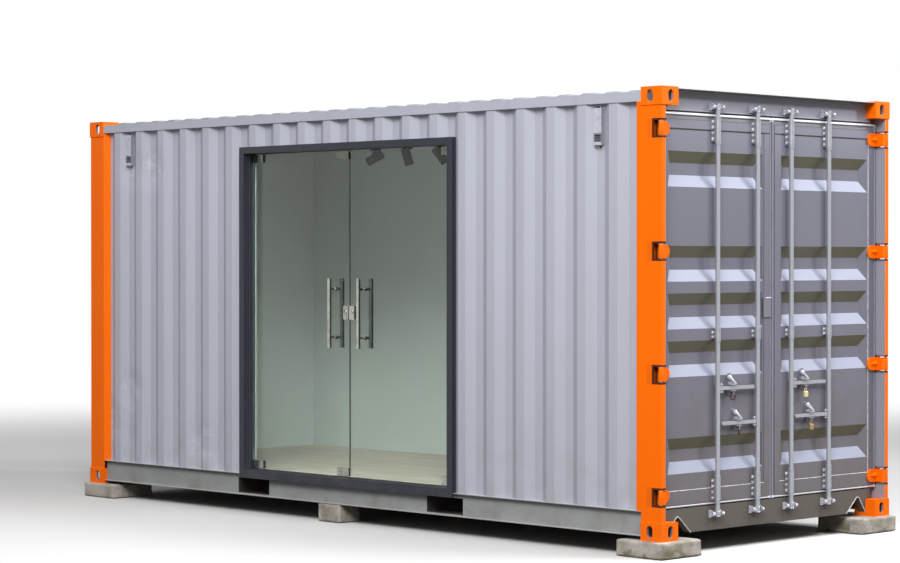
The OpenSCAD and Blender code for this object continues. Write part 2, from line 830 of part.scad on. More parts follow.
module hinge_blade() {
    difference() {
        union() {
            translate([leaf_out, 0, 0]) rotate([90, 0, 90]) linear_extrude(10) {
                translate([leaf_edge - 45, 0]) circle(r = blade_half);
                translate([leaf_edge - 45, -blade_half]) square([post_return - 5 - leaf_edge + 45, hinge_height]);
            }
            block([leaf_out, post_return - 15, -blade_half], [pin_x + 6, post_return - 5, blade_half]);
            block([pin_x - 6, post_return - 15, -blade_half], [pin_x + 6, pin_y, blade_half]);
            translate([pin_x, pin_y, -blade_half]) cylinder(r = 15.5, h = hinge_height);
        }
        translate([pin_x, pin_y, -100]) cylinder(r = pin_radius + 0.5, h = 200);
    }
}

// a rod bracket: plate on the leaf with a strap round the rod
module rod_bracket(y, b) {
    h = b[1];
    translate([rod_x, y, b[0]]) difference() {
        union() {
            block([leaf_out - rod_x - b[2], -42, -h],
                [leaf_out - rod_x + 4, 42, h]);
            translate([0, 0, -h]) cylinder(r = rod_radius + 4, h = 2 * h);
            block([leaf_out - rod_x + 1, -rod_radius - 4, -h], [0, rod_radius + 4, h]);
        }
        translate([0, 0, -h - 1]) cylinder(r = rod_radius + 1, h = 2 * h + 2);
    }
}

// a handle catch: back plate, shelf under the handle, hasp over it and a lug below
module handle_catch(y, z) {
    rest = handle_bar / 2 + 5;
    translate([leaf_out, y, z]) {
        block([-panel_step, -32, -48], [4, 32, 52]);
        block([3, -26, -rest - 4], [40, 26, -rest]);
        block([3, -20, rest], [40, 20, rest + 4]);
        block([3, -20, rest], [7, 20, rest + 20]);
        difference() {
            block([22, -2.5, -rest - 31], [41, 2.5, -rest - 3]);
            translate([32, 0, -rest - 19]) rotate([90, 0, 0]) cylinder(r = 6, h = 10, center = true);
        }
    }
}

module padlock(y, z) {
    translate([leaf_out + 32, y, z - handle_bar / 2 - 26.7]) {
        translate([0, 0, -11]) rotate([90, 0, 90]) rotate_extrude(angle = 180)
            translate([11, 0]) circle(r = 3);
        for (s = [-1, 1]) translate([0, s * 11, -24]) cylinder(r = 3, h = 13.01);
        translate([-9, -20, -60]) cube([18, 40, 38]);
    }
}

// lock rod with cams, collars and the clevis that carries its handle
module lock_rod(y, z, d) {
    translate([rod_x, y, 0]) {
        translate([0, 0, rod_low]) cylinder(r = rod_radius, h = rod_high - rod_low);
        for (c = [cam_low, cam_high]) translate([0, 0, c]) {
            translate([0, 0, -17]) cylinder(r = rod_radius + 2, h = 34);
            translate([0, 0, -17]) linear_extrude(34) mirror([0, d > 0 ? 0 : 1]) {
                translate([-11, 0]) square([22, cam_reach - 11]);
                translate([0, cam_reach - 11]) circle(r = 11);
            }
        }
        for (b = brackets) for (s = [-1, 1]) translate([0, 0, b[0] + s * (b[1] + 9) - 7])
            cylinder(r = rod_radius + 4, h = 14);
        for (s = [-1, 1]) translate([-8, d > 0 ? 0 : -50, z + s * 24 - 4]) cube([16, 50, 8]);
        translate([0, d * 36, z - 28]) cylinder(r = 4, h = 56);
    }
}

module lock_handle(y, z, d) {
    r = handle_bar / 2;
    translate([rod_x, y, z]) difference() {
        union() {
            translate([-6, d > 0 ? 20 : -handle_length + r, -r])
                cube([12, handle_length - r - 20, handle_bar]);
            translate([-6, d * (handle_length - r), 0]) rotate([0, 90, 0]) cylinder(r = r, h = 12);
            translate([-6, d * 36, 0]) rotate([0, 90, 0]) cylinder(r = 16, h = 12);
        }
        translate([0, d * 36, -30]) cylinder(r = 4, h = 60);
    }
}

module left_cargo_leaf() {
    color([0.3, 0.3, 0.3]) lift() mirror([0, 1, 0]) cargo_leaf();
}

module right_cargo_leaf() {
    color([0.3, 0.3, 0.3]) lift() cargo_leaf();
}

module left_leaf_gasket() {
    color([0.05, 0.05, 0.05]) lift() mirror([0, 1, 0]) leaf_gasket();
}

module right_leaf_gasket() {
    color([0.05, 0.05, 0.05]) lift() leaf_gasket();
}

module left_hinge_blades() {
    color([0.95, 0.36, 0.03]) lift() mirror([0, 1, 0]) for (z = hinge_z)
        translate([0, 0, z]) hinge_blade();
}

module right_hinge_blades() {
    color([0.95, 0.36, 0.03]) lift() for (z = hinge_z) translate([0, 0, z]) hinge_blade();
}

module left_leaf_fittings() {
    color([0.65, 0.66, 0.67]) lift() {
        for (b = brackets) for (y = [-rod_outer, -rod_inner]) rod_bracket(y, b);
        handle_catch(-rod_outer + upper_catch, handle_1_height);
        handle_catch(-rod_inner - lower_catch, handle_2_height);
        block([leaf_out, -leaf_half_gap - 2 - seal_plate_width, seal_plate_z],
            [leaf_out + 5, -leaf_half_gap - 2, seal_plate_z + seal_plate_height]);
    }
}

module right_leaf_fittings() {
    color([0.65, 0.66, 0.67]) lift() {
        for (b = brackets) for (y = [rod_inner, rod_outer]) rod_bracket(y, b);
        handle_catch(rod_inner + upper_catch, handle_3_height);
        handle_catch(rod_outer - lower_catch, handle_4_height);
    }
}

module padlocks() {
    color([0.72, 0.55, 0.2]) lift() {
        padlock(rod_inner + upper_catch, handle_3_height);
        padlock(rod_outer - lower_catch, handle_4_height);
    }
}

// one side of a cast keeper: a foot on the frame and an ear with its hole beside the cam
module keeper_ear() {
    difference() {
        union() {
            block([0, keeper_reach - 6, -24], [5, keeper_reach + 20, 24]);
            along_y(keeper_reach - 6, keeper_reach + 6) {
                polygon([[0, -27], [37, -12.4], [37, 12.4], [0, 27]]);
                translate([33, 0]) circle(r = 13);
            }
        }
        translate([32, keeper_reach - 7, 0]) rotate([-90, 0, 0]) cylinder(r = 6, h = 14);
    }
}

module cam_keepers() {
    color([0.65, 0.66, 0.67]) lift() for (y = [-rod_outer, -rod_inner, rod_inner, rod_outer])
        for (z = [cam_low, cam_high]) for (k = [0, 1])
            translate([head_face, y, z]) mirror([0, k, 0]) keeper_ear();
}

module lock_rod_1() {
    color([0.7, 0.71, 0.72]) lift() lock_rod(-rod_outer, handle_1_height, 1);
}

module lock_rod_2() {
    color([0.7, 0.71, 0.72]) lift() lock_rod(-rod_inner, handle_2_height, -1);
}

module lock_rod_3() {
    color([0.7, 0.71, 0.72]) lift() lock_rod(rod_inner, handle_3_height, 1);
}

module lock_rod_4() {
    color([0.7, 0.71, 0.72]) lift() lock_rod(rod_outer, handle_4_height, -1);
}

module lock_handle_1() {
    color([0.7, 0.71, 0.72]) lift() lock_handle(-rod_outer, handle_1_height, 1);
}

module lock_handle_2() {
    color([0.7, 0.71, 0.72]) lift() lock_handle(-rod_inner, handle_2_height, -1);
}

module lock_handle_3() {
    color([0.7, 0.71, 0.72]) lift() lock_handle(rod_inner, handle_3_height, 1);
}

module lock_handle_4() {
    color([0.7, 0.71, 0.72]) lift() lock_handle(rod_outer, handle_4_height, -1);
}

concrete_blocks();
corner_castings();
door_end_posts();
blind_end_posts();
top_side_rails();
bottom_side_rails();
door_header();
door_sill();
blind_end_rails();
front_wall_left();
front_wall_right();
front_wall_over_door();
back_wall();
blind_end_wall();
roof_panel();
cross_members();
fork_pockets();
floor_deck();
wall_lining();
ceiling_lining();
glass_door_frame();
track_lights();
vent_boxes();
cam_keepers();
hinge_pins();
left_glass();
left_glass_fittings();
left_pull_handle();
right_glass();
right_glass_fittings();
right_pull_handle();
left_cargo_leaf();
left_leaf_gasket();
left_hinge_blades();
left_leaf_fittings();
right_cargo_leaf();
right_leaf_gasket();
right_hinge_blades();
right_leaf_fittings();
padlocks();
lock_rod_1();
lock_rod_2();
lock_rod_3();
lock_rod_4();
lock_handle_1();
lock_handle_2();
lock_handle_3();
lock_handle_4();
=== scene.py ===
"""Looks of the shipping container cabin: paints, metals, glass, small hardware, light and camera.

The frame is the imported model. Metres, X along the length with the cargo doors at +X,
the glass door in the -Y side, Z up from the underside of the concrete blocks.
"""

import json
import math
import random

import bmesh
import bpy
from mathutils import Matrix, Vector, noise


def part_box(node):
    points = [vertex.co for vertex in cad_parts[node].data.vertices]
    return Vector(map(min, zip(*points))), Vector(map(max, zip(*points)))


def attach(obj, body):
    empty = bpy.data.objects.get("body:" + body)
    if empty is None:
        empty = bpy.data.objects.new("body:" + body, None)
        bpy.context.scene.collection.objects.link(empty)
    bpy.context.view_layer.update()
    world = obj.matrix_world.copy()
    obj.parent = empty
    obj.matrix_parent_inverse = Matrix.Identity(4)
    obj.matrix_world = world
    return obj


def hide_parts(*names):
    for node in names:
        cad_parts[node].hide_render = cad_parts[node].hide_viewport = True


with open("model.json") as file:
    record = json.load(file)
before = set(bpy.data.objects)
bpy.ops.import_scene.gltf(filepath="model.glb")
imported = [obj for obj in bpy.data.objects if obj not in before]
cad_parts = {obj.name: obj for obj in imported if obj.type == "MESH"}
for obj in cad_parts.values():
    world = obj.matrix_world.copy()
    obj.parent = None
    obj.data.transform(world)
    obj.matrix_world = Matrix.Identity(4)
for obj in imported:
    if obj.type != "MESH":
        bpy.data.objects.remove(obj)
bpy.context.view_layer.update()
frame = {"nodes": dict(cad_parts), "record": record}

# camera, set so that the corners of the container fall where the photograph has them
IMAGE_WIDTH = 900
CAMERA_AT = Vector((13.413, -13.275, 1.906))
AZIMUTH = math.radians(45.57)
ELEVATION = math.radians(0.51)
FOCAL_PIXELS = 2505

camera_data = bpy.data.cameras.new("camera")
camera = bpy.data.objects.new("camera", camera_data)
bpy.context.scene.collection.objects.link(camera)
camera_data.lens = FOCAL_PIXELS / IMAGE_WIDTH * camera_data.sensor_width
camera_data.clip_end = 500
camera.location = CAMERA_AT
towards_camera = Vector((math.sin(AZIMUTH), -math.cos(AZIMUTH), math.tan(ELEVATION)))
camera.rotation_mode = "QUATERNION"
camera.rotation_quaternion = (-towards_camera).to_track_quat("-Z", "Y")
bpy.context.scene.camera = camera
bpy.context.scene.view_settings.view_transform = "Standard"

# corner castings, in metres as all places are: their sizes, and how thick their outer and inner walls are
CASTING_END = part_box("corner_castings")[1]
CASTING_SIZE = (0.178, 0.162, 0.118)
CASTING_WALL = 0.024
CASTING_BACK = 0.018
BLOCK_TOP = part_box("corner_castings")[0][2]
MIDDLE_HEIGHT = (BLOCK_TOP + CASTING_END[2]) / 2
HEADER_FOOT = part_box("door_header")[0][2]
SILL_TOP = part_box("door_sill")[1][2]
# the faces of the sill, the cargo leaves and the plates on the leaves, all towards +X
FRAME_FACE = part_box("door_sill")[1][0]
LEAF_FACE = 2.950
PLATE_FACE = LEAF_FACE + 0.004
# scuffs and dents in the long wall, the width of a sheet, and where the roof's grimy edge begins
WALL_MARKS = (
    (-2.22, -1.19, 2.60),
    (-2.50, -1.20, 2.62),
    (-2.78, -1.19, 0.62),
    (-2.50, -1.19, 0.88),
    (-1.62, -1.19, 0.50),
)
MARK_RADIUS = 0.20
WALL_SHEET = 1.112
ROOF_EDGE = (1.02, 1.16)

# cargo doors: the side of the centre line that each is on, and its body
CARGO_DOORS = ((-1, "left_cargo_door"), (1, "right_cargo_door"))
# each lock rod: body, distance from the centre line, height of its handle, side of its handle
RODS = (
    ("rod_1", -0.595, 1.063, 1),
    ("rod_2", -0.180, 0.832, -1),
    ("rod_3", 0.180, 1.072, 1),
    ("rod_4", 0.595, 0.848, -1),
)
ROD_X = 2.972
ROD_RADIUS = 0.016
ROD_ENDS = (0.227, 2.918)
CAM_HEIGHTS = (0.246, 2.899)
EAR_FROM_ROD = 0.042
# each bracket of a rod: height and half length
BRACKETS = ((0.405, 0.075), (1.413, 0.029), (2.745, 0.075))
# each handle catch: body, distance from the centre line, height
CATCHES = (
    ("left_cargo_door", -0.450, 1.063),
    ("left_cargo_door", -0.390, 0.832),
    ("right_cargo_door", 0.325, 1.072),
    ("right_cargo_door", 0.385, 0.848),
)
BETWEEN_PADLOCKS = 0.88
LEAF_HINGES = (0.390, 1.173, 1.957, 2.740)
# the hinge pockets in the door posts, darkened past the knuckle as painted shade, and where the doors' grey
# ends on a post
POCKET_HALF_HEIGHT = 0.0615
POCKET_ACROSS = (1.17, 1.2155)
POCKET_ALONG = (2.90, 3.024)
KNUCKLE_PLANE = 2.941
POST_GREY_EDGE = 1.174
# a leaf's pressed panel: distance of its sides from the centre line, its foot and its top
PANEL_SIDES = (0.0845, 1.0795)
PANEL_FOOT = 0.4155
PANEL_TOP = 2.7445
SEAL_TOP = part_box("left_leaf_gasket")[1][2]
SEAL_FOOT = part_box("left_leaf_gasket")[0][2]
# the seal plate beside the leaves' meeting edge
SEAL_PLATE_ACROSS = (-0.094, -0.016)
SEAL_PLATE_HEIGHTS = (1.519, 1.647)
# the arched notch at each end of the sill: foot, peak and end, each across and up
SILL_NOTCH = ((0.835, 0.141), (0.968, 0.260), (1.055, 0.141))

# glass door: the side of the centre line that each leaf is on, and its body
GLASS_LEAVES = ((-1, "left_glass_leaf"), (1, "right_glass_leaf"))
GLASS_Y = -1.134
DOOR_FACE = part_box("glass_door_frame")[0][1]
FRAME_STEP = 0.026
FRAME_MIDDLE = 0.025
PIVOT_X = 1.016
LOCK_X = 0.035
LOCK_HEIGHT = 1.527
PULL_X = 0.155
PULL_ENDS = (1.265, 1.765)
PULL_POSTS = (1.340, 1.690)

# vents, boards and spotlights
VENT_SLOTS = (0.044, 0.098)
VENT_FLANGE_FACE = 1.174
BOARD_WIDTH = 1.22
FLOOR_SHEET = 1.16
# each spotlight: tilt and heading in degrees
SPOTLIGHTS = ((64, 20), (16, 220), (38, 200))
FIRST_SPOTLIGHT = -0.960
SPOTLIGHT_PITCH = 0.365
SPOTLIGHT_DROP = 0.114

# concrete blocks: how far they stand out past the castings, their side, and the corners of the middle one
BLOCK_OVER = 0.040
BLOCK_SIDE = 0.400
MIDDLE_BLOCK = ((-0.270, 1.004, 0.0), (-0.030, 1.214, 0.135))

ALONG = (1, 0, 0)
ACROSS = (0, 1, 0)
UP = (0, 0, 1)


# shader nodes
class Value:
    """A node's output. Arithmetic on it adds Math nodes."""

    def __init__(self, nodes, socket):
        self.nodes = nodes
        self.socket = socket

    def math(self, operation, first, second=0.0):
        return self.nodes.add("Math", {"operation": operation}, {0: first, 1: second})

    def __add__(self, other):
        return self.math("ADD", self, other)

    def __sub__(self, other):
        return self.math("SUBTRACT", self, other)

    def __rsub__(self, other):
        return self.math("SUBTRACT", other, self)

    def __mul__(self, other):
        return self.math("MULTIPLY", self, other)

    def __abs__(self):
        return self.math("ABSOLUTE", self)

    __radd__ = __add__
    __rmul__ = __mul__


class Nodes:
    """The nodes of one material or of the world."""

    def __init__(self, tree):
        self.tree = tree

    def add(self, kind, settings=(), inputs=(), out=0):
        """Adds a node: its settings first, then the values or links of its sockets."""
        node = self.tree.nodes.new("ShaderNode" + kind)
        for name, value in dict(settings).items():
            setattr(node, name, value)
        self.fill(node.name, inputs)
        return Value(self, node.outputs[out])

    def fill(self, node, inputs):
        """Sets or links the sockets of a node, given by its name."""
        sockets = self.tree.nodes[node].inputs
        for name, value in dict(inputs).items():
            if isinstance(value, Value):
                self.tree.links.new(value.socket, sockets[name])
            else:
                sockets[name].default_value = value

    def output(self, node):
        return Value(self, self.tree.nodes[node].outputs[0])

    def mixed_by_ray(self, light, shown):
        """Mixes two shaders: shown is for camera, mirror and glass rays, and light for the rest."""
        seen = self.add("LightPath", out="Is Camera Ray")
        for ray in ("Is Glossy Ray", "Is Transmission Ray"):
            seen = seen.math("MAXIMUM", seen, self.add("LightPath", out=ray))
        return self.add("MixShader", {}, {0: seen, 1: light, 2: shown})


class Finish(Nodes):
    """One material and the nodes of its surface."""

    def __init__(self, name):
        self.material = bpy.data.materials.new(name)
        self.material.use_nodes = True
        super().__init__(self.material.node_tree)
        self.place = self.add("TexCoord", out="Object")

    def noise(self, scale, detail=4.0, stretch=(1, 1, 1), rough=0.5):
        """Noise of that many waves a metre, drawn out along an axis by a stretch under 1."""
        at = self.add("VectorMath", {"operation": "MULTIPLY"}, {0: self.place, 1: stretch})
        inputs = {"Vector": at, "Scale": scale, "Detail": detail, "Roughness": rough}
        return self.add("TexNoise", {}, inputs)

    def fade(self, value, low, high):
        """0 below low and 1 above high, smooth between."""
        inputs = {"Value": value, "From Min": low, "From Max": high}
        return self.add("MapRange", {"interpolation_type": "SMOOTHSTEP"}, inputs)

    def axis(self, name):
        """How far along X, Y or Z the surface lies."""
        return self.add("SeparateXYZ", {}, {0: self.place}, out=name)

    def facing(self, axis, low, high):
        """1 where the surface looks along an axis by more than high, 0 below low."""
        normal = self.add("NewGeometry", out="Normal")
        return self.fade(self.add("SeparateXYZ", {}, {0: normal}, out=axis), low, high)

    def between(self, value, low, high, soft=0.002):
        """1 from low to high and 0 outside."""
        return self.fade(value, low - soft, low) * (1 - self.fade(value, high, high + soft))

    def mix(self, factor, first, second):
        """The first colour at factor 0 and the second at 1."""
        return self.add("Mix", {"data_type": "RGBA"}, {0: factor, 6: first, 7: second}, out=2)

    def spot(self, centre, radius):
        """1 at a point and 0 from the radius on."""
        far = self.add("VectorMath", {"operation": "DISTANCE"}, {0: self.place, 1: centre}, out="Value")
        return 1 - self.fade(far, radius * 0.35, radius)

    def every(self, axis, pitch):
        """Distance past the last of a row of lines a pitch apart."""
        return self.add("Math", {"operation": "WRAP"}, {0: self.axis(axis), 1: pitch, 2: 0.0})

    def relief(self, height, depth):
        """Raises the surface by height times depth, in metres."""
        self.surface(Normal=self.add("Bump", {}, {"Strength": 1.0, "Distance": depth, "Height": height}))

    def surface(self, **inputs):
        """Fills the shader's sockets, named with _ for a space."""
        self.fill("Principled BSDF", {name.replace("_", " "): value for name, value in inputs.items()})
        return self.material

    def seen_as(self, shader):
        """Shows another shader, in which the plain one may be mixed."""
        self.fill("Material Output", {"Surface": shader})
        return self.material


def tone(red, green, blue):
    """A colour given as it shows on a screen, 0 to 255."""
    return tuple((c / 255) ** 2.2 for c in (red, green, blue)) + (1.0,)


# paints
def weathered(f, colour, faded, dusty, dust_top, dust, streaks):
    """Uneven fading, thin upright streaks, and dust that rises from the ground."""
    paint = f.mix(f.fade(f.noise(0.7, 3), 0.3, 0.7) * 0.6, colour, faded)
    runs = f.fade(f.noise(9, 5, (1, 1, 0.06)), 0.52, 0.78)
    paint = f.mix(runs * streaks, paint, dusty)
    low = 1 - f.fade(f.axis("Z"), BLOCK_TOP, dust_top)
    specks = f.fade(f.noise(5, 8, rough=0.7), 0.38, 0.72)
    return f.mix(low * specks * dust, paint, dusty), low


def sprayed(f, paint, low, roughness, gloss):
    """Orange peel and faint dents under a sheen that dust takes away."""
    f.relief(f.noise(160, 2) * 0.10 + f.noise(1.6, 3) * 1.0, 0.004)
    shine = f.noise(3, 5) * 0.16 + (roughness - 0.08) + low * 0.12
    return f.surface(Base_Color=paint, Roughness=shine, Specular_IOR_Level=gloss)


def orange(name, hide=None, grey=None):
    """Signal orange. hide gives two masks: of the places that are grey instead, and of painted shade in
    pockets.
    """
    f = Finish(name)
    paint, low = weathered(f, tone(255, 108, 0), tone(255, 114, 6), tone(204, 96, 34), 0.6, 0.3, 0.04)
    chips = f.fade(f.noise(24, 8, rough=0.7), 0.66, 0.70) * low
    paint = f.mix(chips * 0.6, paint, tone(120, 82, 60))
    if hide:
        hidden, painted_shade = hide(f)
        paint = f.mix(hidden, paint, grey)
        # dark brown where the second mask is: painted shade in the posts' hinge pockets
        paint = f.mix(painted_shade, paint, tone(84, 44, 26))
    return sprayed(f, paint, low, 0.42, 0.12)


def orange_paint():
    """Signal orange all over."""
    return orange("orange_paint")


def casting_paint():
    """Orange outside, and grey in the hollow behind the holes: the bare inside, darkened as painted shade."""
    middles = (0.0, 0.0, MIDDLE_HEIGHT)

    # the grey in the hollow stands for the unpainted inside and for painted shade
    def hollow(f):
        inside = 1
        for axis, middle, end, size in zip("XYZ", middles, CASTING_END, CASTING_SIZE):
            far = abs(f.axis(axis) - middle)
            reach = end - middle
            inside = inside * f.between(far, reach - size + CASTING_BACK, reach - CASTING_WALL * 0.35)
        return inside, 0.0

    return orange("casting_paint", hollow, tone(126, 124, 132))


def post_paint():
    """The door posts: orange, with the doors' grey beside the leaves and painted shade in the hinge pockets.
    """

    def hidden(f):
        across, along = abs(f.axis("Y")), f.axis("X")
        pockets = 0
        for hinge in LEAF_HINGES:
            foot, top = hinge - POCKET_HALF_HEIGHT, hinge + POCKET_HALF_HEIGHT
            pockets = f.between(f.axis("Z"), foot, top) + pockets
        pockets = pockets * f.between(across, *POCKET_ACROSS) * f.between(along, *POCKET_ALONG)
        # a pocket is dark brown past the knuckle and faintly before it: painted shade
        beside_knuckle = f.fade(along, KNUCKLE_PLANE - 0.003, KNUCKLE_PLANE + 0.003)
        painted_shade = pockets * (beside_knuckle * 0.85 + 0.15)
        return 1 - f.fade(across, POST_GREY_EDGE, POST_GREY_EDGE + 0.003), painted_shade

    return orange("post_paint", hidden, tone(150, 149, 160))


def wall_paint():
    """Light grey with a lilac tint, scuffed and dented where the photograph shows it."""
    f = Finish("wall_paint")
    paint = f.mix(f.fade(f.noise(0.6, 3), 0.3, 0.7) * 0.5, tone(174, 176, 189), tone(165, 167, 178))
    runs = f.fade(f.noise(11, 6, (1, 1, 0.05)), 0.55, 0.8)
    paint = f.mix(runs * 0.3, paint, tone(148, 149, 152))
    # faces turned to -X darker: painted shade
    shaded_faces = 1 - f.facing("X", -0.6, -0.3)
    paint = f.mix(shaded_faces * 0.35, paint, tone(138, 140, 150))
    low = 1 - f.fade(f.axis("Z"), 0.28, 1.0)
    paint = f.mix(low * f.fade(f.noise(6, 8), 0.4, 0.7) * 0.3, paint, tone(150, 144, 134))
    scratch = f.fade(f.noise(9, 7, (0.6, 0.6, 1.3), 0.65), 0.50, 0.62)
    bruised = 0
    for mark in WALL_MARKS:
        bruised = f.spot(mark, MARK_RADIUS) + bruised
    paint = f.mix(scratch * bruised * 0.5, paint, tone(206, 208, 216))
    seam = 1 - f.fade(f.every("X", WALL_SHEET), 0.004, 0.007)
    rust = f.fade(f.noise(26, 7, (1, 1, 0.3)), 0.69, 0.76) * (1 - f.fade(f.axis("Z"), 0.2, 0.6))
    paint = f.mix(rust * 0.5, paint, tone(126, 92, 66))
    f.relief(f.noise(150, 2) * 0.06 + f.noise(1.8, 3) * 1.2 - bruised * 1.6 + seam * 0.4, 0.005)
    shine = f.noise(4, 5) * 0.14 + 0.36 + scratch * bruised * 0.2
    return f.surface(Base_Color=paint, Roughness=shine, Specular_IOR_Level=0.4)


def roof_paint():
    """The wall's grey gone chalky, with dust and rain marks that run across the roof."""
    f = Finish("roof_paint")
    paint = f.mix(f.fade(f.noise(0.7, 4), 0.3, 0.7), tone(150, 152, 162), tone(138, 140, 149))
    marks = f.fade(f.noise(6, 6, (1, 0.12, 1)), 0.48, 0.74)
    paint = f.mix(marks * 0.4, paint, tone(126, 124, 122))
    edge = f.fade(abs(f.axis("Y")), *ROOF_EDGE)
    paint = f.mix(edge * f.fade(f.noise(9, 6), 0.35, 0.65) * 0.5, paint, tone(112, 108, 102))
    seam = 1 - f.fade(f.every("X", WALL_SHEET), 0.004, 0.007)
    f.relief(f.noise(1.4, 3) * 1.2 + seam * 0.4, 0.003)
    return f.surface(Base_Color=paint, Roughness=0.70 + marks * 0.12, Specular_IOR_Level=0.08)


def vent_paint():
    """The wall's grey, darkened down the sides and across the slots as painted shade."""
    f = Finish("vent_paint")
    paint = f.mix(f.fade(f.noise(30, 4), 0.4, 0.7), tone(186, 188, 199), tone(170, 172, 182))
    # the sides dark grey: painted shade
    sides = f.facing("X", 0.5, 0.8) + (1 - f.facing("X", -0.8, -0.5))
    paint = f.mix(sides * 0.7, paint, tone(112, 114, 124))
    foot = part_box("vent_boxes")[0][2]
    # a dark band over the slots: painted shade of the opening behind them
    slot_shade = f.between(f.axis("Z"), foot + VENT_SLOTS[0], foot + VENT_SLOTS[1], 0.003) * (1 - sides)
    paint = f.mix(slot_shade * 0.8, paint, tone(70, 70, 78))
    f.relief(f.noise(200, 3), 0.0004)
    return f.surface(Base_Color=paint, Roughness=0.42 + f.noise(40, 3) * 0.08)


def rail_paint():
    """The rails' grey: pale along the lower rail's lip as a painted highlight, and chalky on what looks up.
    """
    f = Finish("rail_paint")
    paint, low = weathered(f, tone(148, 151, 152), tone(156, 158, 159), tone(120, 108, 94), 0.40, 0.5, 0.2)
    # what looks up, low down, pale: painted highlight
    lip = f.facing("Z", 0.3, 0.7) * (1 - f.fade(f.axis("Z"), 0.5, 1.0) * 0.8)
    paint = f.mix(lip * 0.8, paint, tone(196, 196, 200))
    chalky = f.facing("Z", 0.8, 0.95) * 2
    return sprayed(f, paint, low + chalky, 0.5, 0.15)


def graphite(f):
    """The cargo doors' grey: browner low down, with painted light and shade on slopes, header and seams."""
    across, height = f.axis("Y"), f.axis("Z")
    front, painted_sheen = f.facing("X", 0.8, 0.9), f.facing("Z", 0.15, 0.45)
    paint, low = weathered(f, tone(110, 110, 122), tone(115, 114, 126), tone(106, 98, 97), 2.2, 0.7, 0.08)
    paint = f.mix(f.fade(height, 2.4, 2.95) * 0.8, paint, tone(132, 132, 145))
    # the header paler: painted light against the shade under its hood
    header = f.fade(height, HEADER_FOOT - 0.004, HEADER_FOOT + 0.002)
    paint = f.mix(header * 0.8, paint, tone(160, 160, 174))
    # upward slopes pale: painted sheen of the sky
    paint = f.mix(painted_sheen * 0.9, paint, tone(150, 154, 174))
    # flat tops back near the base grey, so that only the slopes carry the painted sheen
    paint = f.mix(f.facing("Z", 0.85, 0.97) * 0.9, paint, tone(116, 116, 124))
    splashed = 1 - f.fade(height, 0.3, 1.3)
    paint = f.mix(splashed * 0.45 * (1 - painted_sheen), paint, tone(110, 102, 96))
    # what looks down dark olive: painted shade and a painted green reflection of the ground
    under = 1 - f.facing("Z", -0.45, -0.15)
    paint = f.mix(under * 0.9, paint, tone(98, 94, 72))
    sill = 1 - f.fade(height, SILL_TOP, SILL_TOP + 0.012)
    paint = f.mix(sill * 0.85, paint, tone(90, 85, 78))
    shade = f.between(height, SEAL_TOP - 0.050, SEAL_TOP - 0.032)
    paint = f.mix(shade * front * 0.6, paint, tone(104, 97, 88))
    # a dark line along the panels' top seam: painted shadow in the crease
    joint = f.between(height, PANEL_TOP - 0.004, PANEL_TOP + 0.004)
    paint = f.mix(joint * front * 0.9, paint, tone(52, 50, 56))
    # a dark line beside and below the seal plate: painted shadow of the plate
    outer, foot = SEAL_PLATE_ACROSS[0], SEAL_PLATE_HEIGHTS[0]
    beside = f.between(across, outer - 0.010, outer - 0.001, 0.001) * f.between(height, *SEAL_PLATE_HEIGHTS)
    below = f.between(across, *SEAL_PLATE_ACROSS) * f.between(height, foot - 0.008, foot - 0.001, 0.001)
    return f.mix((beside * 0.9 + below * 0.6) * front, paint, tone(44, 40, 52)), low


def end_paint():
    """The cargo end's leaves, header and sill."""
    f = Finish("end_paint")
    paint, low = graphite(f)
    return sprayed(f, paint, low, 0.46, 0.25)


def frame_paint():
    """Blue-black, paler on the jambs' cheeks as a painted sheen, with a dark line of painted shade at each
    step of the section.
    """
    f = Finish("frame_paint")
    paint, low = weathered(f, tone(34, 36, 47), tone(41, 43, 54), tone(92, 90, 90), 0.5, 0.4, 0.04)
    # the cheeks paler: painted sheen
    jamb = f.facing("X", 0.7, 0.9) + (1 - f.facing("X", -0.9, -0.7))
    paint = f.mix(jamb * 0.6, paint, tone(66, 69, 80))
    # a dark line at each step of the section: painted shade
    step = 1 - f.fade(abs(f.every("Y", FRAME_STEP) - FRAME_STEP / 2), 0.0035, 0.0055)
    paint = f.mix(jamb * step * 0.8, paint, tone(22, 23, 30))
    return sprayed(f, paint, low, 0.36, 0.4)


def underseal():
    """Tar-like coating under the floor, thick and uneven."""
    f = Finish("underseal")
    paint = f.mix(f.fade(f.noise(7, 6), 0.4, 0.7), tone(46, 42, 42), tone(84, 68, 58))
    f.relief(f.noise(60, 6), 0.003)
    return f.surface(Base_Color=paint, Roughness=f.noise(12, 4) * 0.2 + 0.65)


# metals
def zinc(f, bright, dim, spangle_size):
    """Zinc on steel: small crystals of unlike grey, dull where handled."""
    crystals = f.add("TexVoronoi", {}, {"Vector": f.place, "Scale": spangle_size}, out="Color")
    spangle = f.add("SeparateColor", {}, {0: crystals})
    dull = f.fade(f.noise(6, 5), 0.42, 0.7)
    colour = f.mix(dull * 0.12, f.mix(spangle * 0.5, dim, bright), tone(136, 134, 136))
    return colour, spangle, dull


def galvanised():
    """The lock rods' smooth zinc."""
    f = Finish("galvanised")
    colour, spangle, dull = zinc(f, tone(168, 170, 178), tone(160, 162, 170), 280.0)
    f.relief(f.noise(120, 2), 0.00005)
    return f.surface(Base_Color=colour, Metallic=0.45, Roughness=spangle * 0.01 + 0.28 + dull * 0.04)


def cast_zinc():
    """Rough hot-dipped castings, brighter than the rods."""
    f = Finish("cast_zinc")
    colour, spangle, _ = zinc(f, tone(218, 218, 228), tone(178, 178, 190), 120.0)
    f.relief(f.noise(90, 5), 0.003)
    return f.surface(Base_Color=colour, Metallic=0.45, Roughness=spangle * 0.08 + 0.30)


